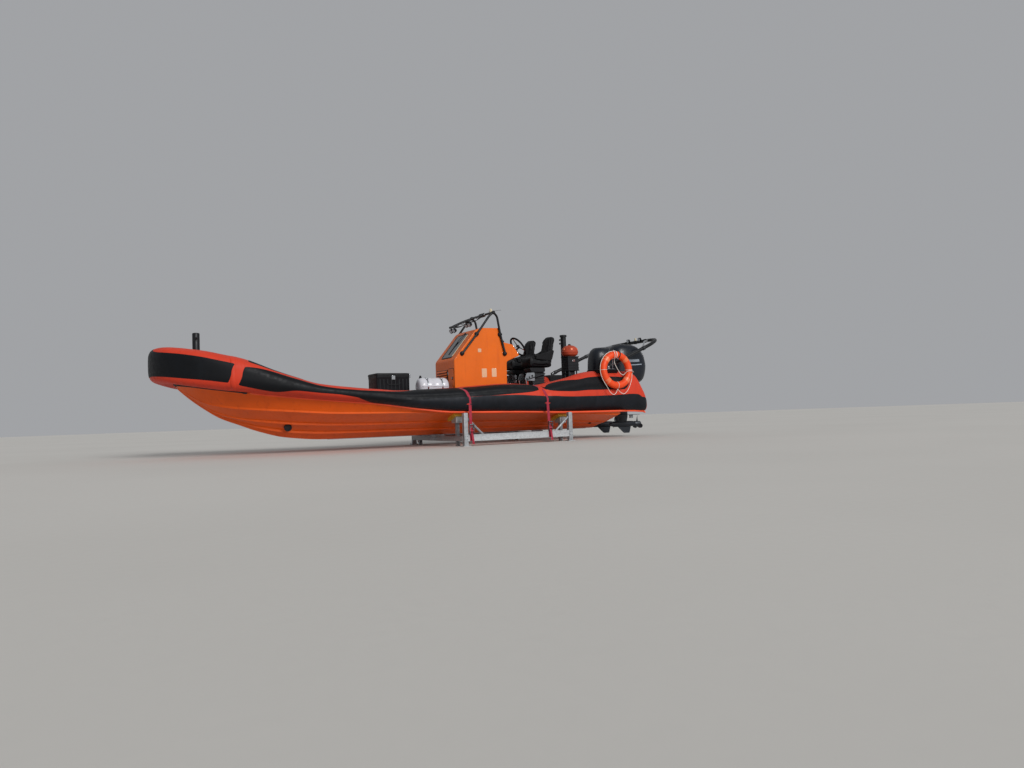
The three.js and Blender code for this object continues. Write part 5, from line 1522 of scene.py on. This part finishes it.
def ring_point(to_bow, up, out=0.0):
    """A point in the leaning plane of the life ring, or out from it."""
    x, y, z = RING_SPOT
    c, s = math.cos(RING_LEAN), math.sin(RING_LEAN)
    return (x + to_bow, y - up * s + out * c, z + up * c + out * s)


def ring_skin(turn, girth, grow=0.0):
    """A point on the ring: turn goes round the ring and girth round its tube, in degrees."""
    reach = RING_MAJOR + (RING_MINOR + grow) * cosd(girth)
    return ring_point(reach * cosd(turn), reach * sind(turn), (RING_MINOR * 0.92 + grow) * sind(girth))


def life_ring():
    """Ring with four reflective bands, its ties and the lashing to its peg."""
    shape = Shape("life_ring_body", ring_plastic, reflective_tape, white_rope, gasket_rubber)
    shape.skin([[ring_skin(turn, girth) for girth in GIRTHS] for turn in spread(0, 360, 97)], caps=False)
    for middle in RING_BANDS:
        rows = [(middle - 7.5, -1), (middle - 7.3, 1.6), (middle + 7.3, 1.6), (middle + 7.5, -1)]
        shape.skin([[ring_skin(turn, girth, grow) for girth in GIRTHS] for turn, grow in rows], 1, caps=False)
    # Line seized round the ring at its four ties, and the dark lashing by the peg
    for middle, count, finish in ((90, 2, 2), (0, 1, 2), (180, 1, 2), (270, 1, 2), (104, 3, 3)):
        for i in range(count):
            turn = middle + (i - (count - 1) / 2) * 1.6
            loop = [ring_skin(turn + 0.4 * sind(g), g, 3.2) for g in spread(0, 360, 33)]
            shape.pipe(loop, 3.2, 8, finish)
    shape.build("life_ring", slot="orange_plastic")
    dress("ring_peg", stainless, 1)


LINE_RADIUS, LINE_AWAY = 4.5, 345.8
LINE_ROUTE = [
    *[(LINE_AWAY * cosd(a), LINE_AWAY * sind(a), 0) for a in (90, 68, 46, 23, 0, -18)],
    (288, -210, 9), (242, -288, 15), (177, -391, 13), (101, -439, 9), (36, -398, 4), (0, -347, 0), (-42, -391, 4),
    (-118, -430, 9), (-195, -383, 13), (-262, -288, 15), (-317, -172, 11), (-345, -63, 6), (-336, -38, 53),
    (-274, -26, 77), (-210, -29, 53), (-189, -56, 15), (-141, -90, 6), (-80, -56, 4), (-27, 18, 4), (18, 99, 6),
    (40, 167, 15), (51, 205, 53), (57, 269, 77), (58, 333, 53), (45, 353, 11),
]


def smooth_route(points, turns=6):
    """A centripetal Catmull-Rom curve through points."""
    knots = [Vector(p) for p in points]
    knots = [knots[0] * 2 - knots[1], *knots, knots[-1] * 2 - knots[-2]]
    out = []
    for p0, p1, p2, p3 in zip(knots, knots[1:], knots[2:], knots[3:]):
        t1 = (p1 - p0).length ** 0.5
        t2 = t1 + (p2 - p1).length ** 0.5
        t3 = t2 + (p3 - p2).length ** 0.5
        for t in spread(t1, t2, turns + 1)[:-1]:
            a1 = p0 * ((t1 - t) / t1) + p1 * (t / t1)
            a2 = p1 * ((t2 - t) / (t2 - t1)) + p2 * ((t - t1) / (t2 - t1))
            a3 = p2 * ((t3 - t) / (t3 - t2)) + p3 * ((t - t2) / (t3 - t2))
            b1 = a1 * ((t2 - t) / t2) + a2 * (t / t2)
            b2 = a2 * ((t3 - t) / (t3 - t1)) + a3 * ((t - t1) / (t3 - t1))
            out.append(b1 * ((t2 - t) / (t2 - t1)) + b2 * ((t - t1) / (t2 - t1)))
    return [*out, knots[-2]]


def ring_line():
    """Grab line hung from the ring's ties."""
    route = smooth_route([ring_point(*spot) for spot in LINE_ROUTE])
    shape = Shape("life_ring_line", white_rope)
    shape.pipe(route, LINE_RADIUS, 10)
    made = shape.build("ring_line", slot="line")


# Engines

ENGINE_Y = 330
COWL = stations(
    "z fore aft half",
    [
        (1000, -3605, -4180, 150),
        (1060, -3590, -4290, 190),
        (1180, -3585, -4345, 214),
        (1330, -3590, -4370, 220),
        (1480, -3600, -4345, 214),
        (1600, -3620, -4280, 196),
        (1690, -3660, -4190, 162),
        (1745, -3730, -4060, 105),
    ],
)


def cowl_point(turn, z, out=0.0):
    """A point on the engine's cowl, turn in degrees from dead ahead."""
    fore, aft, half = COWL["fore"](z) + out, COWL["aft"](z) - out, COWL["half"](z) + out
    x = (fore + aft) / 2 + (fore - aft) / 2 * bulged(cosd(turn), 0.72)
    return (x, ENGINE_Y + half * bulged(sind(turn), 0.72), z)


def engine_cowl(side):
    """Cowl with its seam, spine, intakes, plain stripes and clip."""
    name = HANDS[side]
    shape = Shape(f"engine_head_{name}", cowl_enamel, gasket_rubber, grey_decal, black_moulding, side=side)
    turns = spread(0, 360, 73)[:-1]
    levels = [(1000, 0), (1030, 0), (1062, 2), (1066, -5), (1074, -5), (1078, 2), (1120, 2)]
    levels += [(z, 2) for z in spread(1160, 1740, 22)] + [(1745, -20)]
    shape.skin([[cowl_point(t, z, out) for t in turns] for z, out in levels])
    # Raised spine on the top and the air intakes at its after end
    spine = [(x, 1752 - 60 * ((x + 3900) / 330) ** 2) for x in spread(-3700, -4180, 14)]
    section = ((-62, -40), (-46, 0), (46, 0), (62, -40))
    shape.skin([[(x, ENGINE_Y + a, z + b) for a, b in section] for x, z in spine])
    for i in range(4):
        z = 1500 + i * 32
        x = COWL["aft"](z)
        shape.box((x - 8, x + 40), (ENGINE_Y - 90, ENGINE_Y + 90), (z, z + 12), 3)
    # Two plain stripes that sweep aft along the outer side, the lower one thin
    for low, high, start, end in ((1332, 1352, 86, 114), (1390, 1440, 74, 106)):
        for way in (1, -1):
            rings = []
            for share in spread(0, 1, 18):
                turn, lift = way * (start + (end - start) * share), 16 * share
                row = ((low, 0), (low + 1, 3.2), ((low + high) / 2, 3.4), (high - 1, 3.2), (high, 0))
                rings.append([cowl_point(turn, z + lift, grow) for z, grow in row])
            shape.skin(rings, 2, closed=False, caps=False)
    # Clip handle
    handle = [cowl_point(turn, 1120, out) for turn, out in ((170, 0), (174, 26), (186, 26), (190, 0))]
    shape.pipe(rounded(handle, 20), 7, 10, 3)
    shape.build(f"engine_cowl_{name}", body=f"engine_{name}", slot="engine_cowl", bevel=1.5, crease=40)


LEG = stations(
    "z fore aft half",
    [
        (262, -3700, -3925, 30),
        (330, -3680, -3950, 42),
        (400, -3660, -3960, 55),
        (560, -3640, -3950, 80),
        (900, -3630, -3990, 90),
        (999, -3630, -4060, 110),
    ],
)
SHAFT_Z = 235


def leg_ring(at, z, grow=0):
    """The leg's section of one height, narrower aft, as a ring at z."""
    fore, aft, half = LEG["fore"](at) + grow, LEG["aft"](at) - grow, LEG["half"](at) + grow
    middle, reach = (fore + aft) / 2, (fore - aft) / 2
    return [
        (middle + reach * cosd(t), ENGINE_Y + half * sind(t) * (1 - 0.3 * max(0.0, -cosd(t))), z)
        for t in spread(0, 360, 41)[:-1]
    ]


def engine_leg(side):
    """Leg with its flanges, king pin, vent plate, gear case, skeg and shaft."""
    name = HANDS[side]
    shape = Shape(f"engine_midsection_{name}", engine_casting, stainless, zinc_plate, gasket_rubber, side=side)
    shape.skin([leg_ring(z, z) for z in spread(262, 999, 26)])
    for z, grow, thick in ((996, 14, 10), (870, 5, 8), (566, 6, 10)):
        shape.skin([leg_ring(z, z - drop, grow) for drop in (0, thick)])
    # King pin and yokes, vent plate, gear case, skeg and shaft
    shape.pipe([(-3550, ENGINE_Y, 490), (-3550, ENGINE_Y, 985)], 20, 20, 2)
    shape.box((-3700, -3505), (ENGINE_Y - 45, ENGINE_Y + 45), (973, 998))
    shape.box((-3700, -3510), (ENGINE_Y - 40, ENGINE_Y + 40), (470, 505))
    half = [(-3600, 30), (-3660, 70), (-3760, 92), (-4150, 95), (-4200, 70)]
    plate = half + [(x, -y) for x, y in reversed(half)]
    shape.plate([(x, ENGINE_Y + y) for x, y in plate], (402, 410))
    gear = [(0, 3), (14, 20), (60, 40), (120, 54), (300, 55), (470, 54), (540, 50), (580, 44)]
    shape.lathe(gear, (-3520, ENGINE_Y, SHAFT_Z), ASTERN, 32)
    shape.pipe([(-4090, ENGINE_Y, SHAFT_Z), (-4275, ENGINE_Y, SHAFT_Z)], 12, 16, 1)
    skeg = closed_round([(-3700, 200), (-3860, 62), (-3990, 62), (-4030, 200)], 18)
    shape.slab(skeg, ENGINE_Y - 6, ENGINE_Y + 6)
    for s in (-1, 1):
        for i in range(5):
            z = 300 + 14 * i
            y = ENGINE_Y + s * (LEG["half"](z) * 0.94)
            shape.box((-3800, -3740), sorted((y, y + s * 6)), (z, z + 6), 3)
    shape.box((-4080, -4010), (ENGINE_Y - 16, ENGINE_Y + 16), (340, 402), 2)
    shape.build(f"engine_leg_{name}", body=f"engine_{name}", slot="engine_metal", bevel=2.5, crease=38)
    dress(f"engine_clamp_{name}", engine_casting, 4)
    dress(f"engine_swivel_{name}", engine_casting, 8)


PROPELLER_X, BLADES = -4180, 3
BLADE_ROOT, BLADE_TIP, BLADE_CHORD, BLADE_PITCH, BLADE_THICK = 34, 154, 100, 110, 4.5


def propeller(side):
    """Three cupped blades on a hub with its nut and cap."""
    name = HANDS[side]
    # Blades and hub take the steel darkened with painted shade
    shape = Shape(f"propeller_blades_{name}", shade_darkened_propeller_steel, zinc_plate, side=side)
    x = PROPELLER_X
    shape.lathe([(-70, 44), (-64, 47), (58, 43), (66, 40), (70, 34)], (x, ENGINE_Y, SHAFT_Z), ASTERN, 36)
    shape.lathe([(68, 22), (84, 22), (88, 14)], (x, ENGINE_Y, SHAFT_Z), ASTERN, 6, 1)
    for blade in range(BLADES):
        lean = 2 * math.pi * blade / BLADES
        c, s = math.cos(lean), math.sin(lean)
        rings = []
        for reach in spread(BLADE_ROOT, BLADE_TIP, 14):
            share = (reach - BLADE_ROOT) / (BLADE_TIP - BLADE_ROOT)
            chord = BLADE_CHORD * math.sqrt(max(0.02, 1 - (2 * share - 0.92) ** 2 * 0.9))
            pitch = math.atan2(BLADE_PITCH, 2 * math.pi * reach * 0.55) + 0.5
            row = []
            for along in spread(-1, 1, 9):
                thick = BLADE_THICK * (1 - share * 0.6) * math.sqrt(max(0.0, 1 - along * along)) + 0.8
                row.append((along * chord / 2, thick))
            ring = []
            for a, t in row + [(a, -t) for a, t in reversed(row)]:
                cupped = t + 6 * (a / 50) ** 2 * share
                ahead = a * math.sin(pitch) + cupped * math.cos(pitch)
                across = a * math.cos(pitch) - cupped * math.sin(pitch)
                y, z = ENGINE_Y + reach * s + across * c, SHAFT_Z + reach * c - across * s
                ring.append((x + ahead - 12 * share, y, z))
            rings.append(ring)
        shape.skin(rings)
    shape.build(f"propeller_{name}", body=f"prop_{name}", slot="stainless", bevel=0.8)


POD_X, POD_Y = (-3296, -2850), (625, 990)


def stern_pod(name, side):
    """Moulded quarter pod between deck and tube, its outer side hollowed to the tube's round."""
    shape = Shape(f"quarter_pod_{name}", black_moulding, stainless, side=side)
    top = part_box(f"stern_pod_{name}")[1].z * 1000
    centre_y, half = 820, 180
    low, high = 505, top + 2
    near, far = POD_Y
    rings = []
    for x in (POD_X[0], POD_X[0] + 3, POD_X[1] - 3, POD_X[1]):
        inset = 4 if x in POD_X else 0
        ring = [(near + inset, 640), (near + inset, top - 26), (near + 24, top - 4), (near + 60, top)]
        ring += [(far - 30, top), (far, top - 6), (far + 6, top - 18)]
        # Under the tube's skin it follows the tube, well inside it
        turns = spread(math.radians(52), math.radians(-40), 8)
        middle, reach = (low + high) / 2, (high - low) / 2
        ring += [(centre_y + half * math.cos(a), middle + reach * math.sin(a) - 20) for a in turns]
        rings.append([(x, y, z - inset) for y, z in ring])
    shape.skin(rings)
    shape.build(f"stern_pod_{name}", slot="black_moulding", bevel=8, segments=3)


def transom_gear():
    """Tow eyes, drain socks, the gland for the engines' hoses, the transom's board and the quarter pods."""
    shape = Shape("transom_fittings", stainless, gasket_rubber, black_moulding, gelcoat)
    for side in HANDS:
        turns = spread(0, math.pi, 13)
        loop = [(-3352 - 34 * math.sin(a), side * 500 + 34 * math.cos(a), 700 + 44 * math.sin(a)) for a in turns]
        shape.pipe(loop, 8, 12)
        shape.box((-3356, -3350), sorted((side * 450, side * 550)), (680, 724), 0)
        shape.lathe([(0, 44), (8, 42), (60, 36), (150, 30)], (-3350, side * 140, 620), (-0.8, 0, -0.6), 24, 1)
        shape.lathe([(-3, 54), (4, 54), (6, 48)], (-3350, side * 140, 620), ASTERN, 28, 0)
    shape.lathe([(0, 40), (30, 38), (36, 30)], (-3250, 0, 905), UP, 24, 2)
    shape.box((-3306, -3290), (-540, 540), (928, 952), 1)
    shape.build(slot="black_moulding", bevel=2)
    dress("transom_board", gelcoat, 6)
    for side, name in HANDS.items():
        stern_pod(name, side)


# Cradle and lashings

CRADLE_X, CRADLE_Y = (-165, -2140), 1100


def cradle():
    """Galvanised frames and their pads, kept as solids, with bolt heads and plates."""
    for name in ("side_port", "side_starboard", "cross_front", "cross_rear"):
        dress(f"cradle_{name}", cradle_metal, 4)
    for end in ("front", "rear"):
        for name in HANDS.values():
            dress(f"cradle_pad_{end}_{name}", pad_rubber, 7)
    dress("keel_strip", stainless, 2)
    shape = Shape("cradle_bolts", zinc_plate, cradle_metal)
    head = mm("bolt_radius")
    for side in HANDS:
        outer = side * (CRADLE_Y + 35)
        for x in CRADLE_X:
            bolt_heads(shape, [(x + a, outer, z) for a in (-18, 18) for z in (110, 155)], (0, side, 0), head)
            shape.box((x - 33, x + 33), sorted((outer, outer + side * 3)), (90, 176), 1)
            bolt_heads(shape, [(x + a, side * (CRADLE_Y + 52), 10) for a in (-48, 48)], UP, head)
            shape.lathe([(0, 36), (4, 36), (6, 30)], (x, side * CRADLE_Y, 526 if x > -1000 else 486), UP, 4, 1)
    shape.build(slot="galvanised", bevel=1)


STRAP_THICK, STRAP_LIFT = 3, 3.5


def strap(name, hand, side):
    """A lashing over the tube with its ratchet and loose tail."""
    foot_x = STRAP_TURNS[name][-1]
    shape = Shape(f"lashing_{name}_{hand}", strap_webbing, zinc_plate, side=side)
    route = []
    for turn in spread(172, -14, 46):
        x = strap_x(STRAP_TURNS[name], turn)
        route.append(Vector(tube_point(x - CURVE_START, turn, STRAP_LIFT)))
    inner = route[0]
    route.insert(0, Vector((inner.x + 2, inner.y - 3, DECK_TOP + 4)))
    low = route[-1]
    foot = Vector((foot_x, CRADLE_Y + 36, 190))
    for t in spread(0.12, 1, 12):
        route.append(low.lerp(foot, t))
    route += [Vector((foot_x - 1, CRADLE_Y + 35.5, z)) for z in (160, 120, 84)]
    shape.ribbon(route, AHEAD, mm("strap_width"), STRAP_THICK)
    # Ratchet: side plates, handle, spool and its pawl bar
    up = (low - foot).normalized()
    base = foot + up * 60
    plate = closed_round([(-6, -70), (26, -60), (30, 10), (18, 62), (-4, 66)], 14)
    handle = closed_round([(-4, -20), (20, -20), (30, 100), (4, 104)], 10)
    for s in (-1, 1):
        shape.place = Matrix.Translation(base + Vector((s * 31, 9, 0)))
        shape.skin([[(dx, y, z) for y, z in plate] for dx in (-2, 2)], 1)
        shape.skin([[(dx + s * 6, y + 14, z) for y, z in handle] for dx in (-2, 2)], 1)
    shape.place = Matrix.Translation(base)
    for half, y, z, radius, sides, finish in (
        (38, 22, -8, 15, 18, 0), (42, 22, -8, 7, 12, 1), (39, 34, 92, 8, 12, 1), (36, 10, 52, 6, 12, 1),
    ):
        shape.pipe([(-half, y, z), (half, y, z)], radius, sides, finish)
    shape.place = Matrix.Identity(4)
    # Loose tail that hangs beside the post and lies on the floor
    tail = [(-6, 58, 215), (-12, 62, 150), (-22, 58, 90), (-30, 50, 30)]
    tail = smooth_route([(foot_x + x, CRADLE_Y + y, z) for x, y, z in tail], 6)
    shape.ribbon(tail, (1, 0.3, 0.1), mm("strap_width"), STRAP_THICK)
    shape.build(f"strap_{name}_{hand}", slot="webbing", bevel=0.6)


# Stage

CAMERA_SPOT = (5.2856, 12.405, 0.445)
CAMERA_WAY = (-0.4823, -0.8750, 0.0416)
CAMERA_ROLL_DEGREES = -2.003
CAMERA_LENS, SENSOR_WIDTH = 27.56, 36.0
KEY_FROM, KEY_STRENGTH, KEY_SPREAD_DEGREES = (-1.0, 9.0, 4.6), 2.15, 24
WORLD_COLOUR, WORLD_STRENGTH = "E4E6EA", 0.46
FLOOR_RADII, FLOOR_SIDES = (6000, 20000, 60000, 140000), 48


def make_camera():
    """The camera at the photograph's place, rolled a little."""
    data = bpy.data.cameras.new("camera")
    data.lens, data.sensor_width = CAMERA_LENS, SENSOR_WIDTH
    data.clip_start, data.clip_end = 0.1, 400
    camera = put("camera", data)
    way = Vector(CAMERA_WAY).normalized()
    right = way.cross(Vector(UP)).normalized()
    up = right.cross(way)
    roll = math.radians(CAMERA_ROLL_DEGREES)
    tilted_right = right * math.cos(roll) + up * math.sin(roll)
    tilted_up = up * math.cos(roll) - right * math.sin(roll)
    turn = Matrix((tilted_right, tilted_up, -way)).transposed().to_4x4()
    camera.matrix_world = Matrix.Translation(CAMERA_SPOT) @ turn
    bpy.context.scene.camera = camera


def make_key_light():
    """One large soft sun from port and a little aft, even over the whole floor."""
    data = bpy.data.lights.new("key", "SUN")
    data.energy = KEY_STRENGTH
    data.angle = math.radians(KEY_SPREAD_DEGREES)
    put("key", data).rotation_euler = (-Vector(KEY_FROM)).to_track_quat("-Z", "Y").to_euler()


def make_floor():
    """A wide round floor under the boat."""
    floor = Shape("floor", studio_floor)
    rings = [[(a, b, -1) for a, b in circle(radius, FLOOR_SIDES + 1)[:-1]] for radius in FLOOR_RADII]
    floor.skin(rings, caps=False)
    floor.add(rings[0], [list(range(FLOOR_SIDES))])
    mesh = bpy.data.meshes.new("floor")
    mesh.from_pydata([metres(p) for p in floor.points], [], floor.faces)
    mesh.materials.append(studio_floor())
    put("floor", mesh)


def make_world():
    """Pale, even light from all round."""
    world = bpy.data.worlds.new("pale_studio")
    world.use_nodes = True
    tree = world.node_tree
    sky = tree.nodes["Background"]
    sky.inputs["Color"].default_value = rgb(WORLD_COLOUR)
    sky.inputs["Strength"].default_value = WORLD_STRENGTH
    bpy.context.scene.world = world
    bpy.context.scene.view_settings.view_transform = "Standard"


# Operators


class BOAT_OT_stage(Operator):
    """Sets up the camera, the pale floor and the soft studio light"""

    bl_idname = "boat.stage"
    bl_label = "Stage"

    def execute(self, context):
        make_camera()
        make_floor()
        make_world()
        make_key_light()
        return {"FINISHED"}


class BOAT_OT_life_ring(Operator):
    """Life ring with its bands, ties and grab line"""

    bl_idname = "boat.life_ring"
    bl_label = "Life ring"

    def execute(self, context):
        ring_line()
        life_ring()
        return {"FINISHED"}


class BOAT_OT_hull(Operator):
    """Vee hull with its spray rails, outlets and strakes"""

    bl_idname = "boat.hull"
    bl_label = "Hull"

    def execute(self, context):
        hull_shell()
        for side in HANDS:
            hull_fittings(side)
            gunwale_strake(side)
        return {"FINISHED"}


class BOAT_OT_tube(Operator):
    """The five chambers of the inflatable tube"""

    bl_idname = "boat.tube"
    bl_label = "Tube"

    def execute(self, context):
        baffle, stern = BAFFLE_X - CURVE_START, STERN_END - CURVE_START
        for side, tag in HANDS.items():
            tube_chamber(f"tube_fore_{tag}", baffle, SEAM, 22, side, f"collar_{tag}_fore")
            tube_chamber(f"tube_aft_{tag}", stern, baffle, 22, side, f"collar_{tag}_aft")
        tube_chamber("tube_bow", SEAM, 2 * BOW_TIP - SEAM, 30, PORT, "collar_bow")
        return {"FINISHED"}


class BOAT_OT_tube_panels(Operator):
    """Black panels, rubbing bands, seam tapes and valves on the tube"""

    bl_idname = "boat.tube_panels"
    bl_label = "Tube panels"

    def execute(self, context):
        bow_patch()
        for side in HANDS:
            tube_patches(side)
            seam_tapes(side)
            inflation_valves(side)
        return {"FINISHED"}


class BOAT_OT_console(Operator):
    """Console moulding with its hatches, louvres and blank plates"""

    bl_idname = "boat.console"
    bl_label = "Console"

    def execute(self, context):
        console_shell()
        console_hatches()
        console_plates()
        windscreen()
        return {"FINISHED"}


class BOAT_OT_helm(Operator):
    """Dashboard, steering wheel and throttle"""

    bl_idname = "boat.helm"
    bl_label = "Helm"

    def execute(self, context):
        dashboard()
        steering_wheel()
        throttle()
        return {"FINISHED"}


class BOAT_OT_light_frame(Operator):
    """Tube frame over the console and its folding light mast"""

    bl_idname = "boat.light_frame"
    bl_label = "Light frame"

    def execute(self, context):
        console_hoops()
        light_mast()
        return {"FINISHED"}


class BOAT_OT_seats(Operator):
    """Two jockey seats on their sprung bases"""

    bl_idname = "boat.seats"
    bl_label = "Seats"

    def execute(self, context):
        for side in HANDS:
            seat_base(side)
        seat_cushions()
        return {"FINISHED"}


class BOAT_OT_deck_gear(Operator):
    """Deck with its hatches, locker, liferaft canister and posts"""

    bl_idname = "boat.deck_gear"
    bl_label = "Deck gear"

    def execute(self, context):
        deck_details()
        deck_locker()
        liferaft()
        posts()
        return {"FINISHED"}


class BOAT_OT_buoy(Operator):
    """Marker buoy on its stand"""

    bl_idname = "boat.buoy"
    bl_label = "Marker buoy"

    def execute(self, context):
        buoy_stand()
        marker_buoy()
        return {"FINISHED"}


class BOAT_OT_arch(Operator):
    """Folding stern arch with its lamps"""

    bl_idname = "boat.arch"
    bl_label = "Stern arch"

    def execute(self, context):
        stern_arch()
        return {"FINISHED"}


class BOAT_OT_engines(Operator):
    """Two outboard engines with their propellers, and the transom's fittings"""

    bl_idname = "boat.engines"
    bl_label = "Engines"

    def execute(self, context):
        for side in HANDS:
            engine_cowl(side)
            engine_leg(side)
            propeller(side)
        transom_gear()
        return {"FINISHED"}


class BOAT_OT_cradle(Operator):
    """Galvanised cradle with its pads and bolts"""

    bl_idname = "boat.cradle"
    bl_label = "Cradle"

    def execute(self, context):
        cradle()
        return {"FINISHED"}


class BOAT_OT_lashings(Operator):
    """Four lashing straps with their ratchets"""

    bl_idname = "boat.lashings"
    bl_label = "Lashings"

    def execute(self, context):
        for side, tag in HANDS.items():
            for name in STRAP_TURNS:
                strap(name, tag, side)
        return {"FINISHED"}


STEPS = (
    BOAT_OT_stage, BOAT_OT_life_ring, BOAT_OT_hull, BOAT_OT_tube, BOAT_OT_tube_panels, BOAT_OT_console,
    BOAT_OT_helm, BOAT_OT_light_frame, BOAT_OT_seats, BOAT_OT_deck_gear, BOAT_OT_buoy, BOAT_OT_arch,
    BOAT_OT_engines, BOAT_OT_cradle, BOAT_OT_lashings,
)


class BOAT_PT_sidebar(Panel):
    """Colours, sizes and building steps of the boat"""

    bl_idname = "BOAT_PT_sidebar"
    bl_label = "Rigid inflatable boat"
    bl_space_type = "VIEW_3D"
    bl_region_type = "UI"
    bl_category = "Boat"

    def draw(self, context):
        for group in (context.scene.boat_colours, context.scene.boat_sizes):
            box = self.layout.box()
            for key in group.bl_rna.properties.keys():
                if key not in ("rna_type", "name"):
                    box.prop(group, key)
        for step in STEPS:
            self.layout.operator(step.bl_idname)


CLASSES = (BoatColours, BoatSizes, *STEPS, BOAT_PT_sidebar)


def register():
    for kind in CLASSES:
        bpy.utils.register_class(kind)
    bpy.types.Scene.boat_colours = PointerProperty(type=BoatColours)
    bpy.types.Scene.boat_sizes = PointerProperty(type=BoatSizes)


def unregister():
    del bpy.types.Scene.boat_sizes
    del bpy.types.Scene.boat_colours
    for kind in reversed(CLASSES):
        bpy.utils.unregister_class(kind)


def main():
    register()
    for step in STEPS:
        getattr(bpy.ops.boat, step.bl_idname.split(".")[1])()
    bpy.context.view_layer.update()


if __name__ == "__main__":
    main()
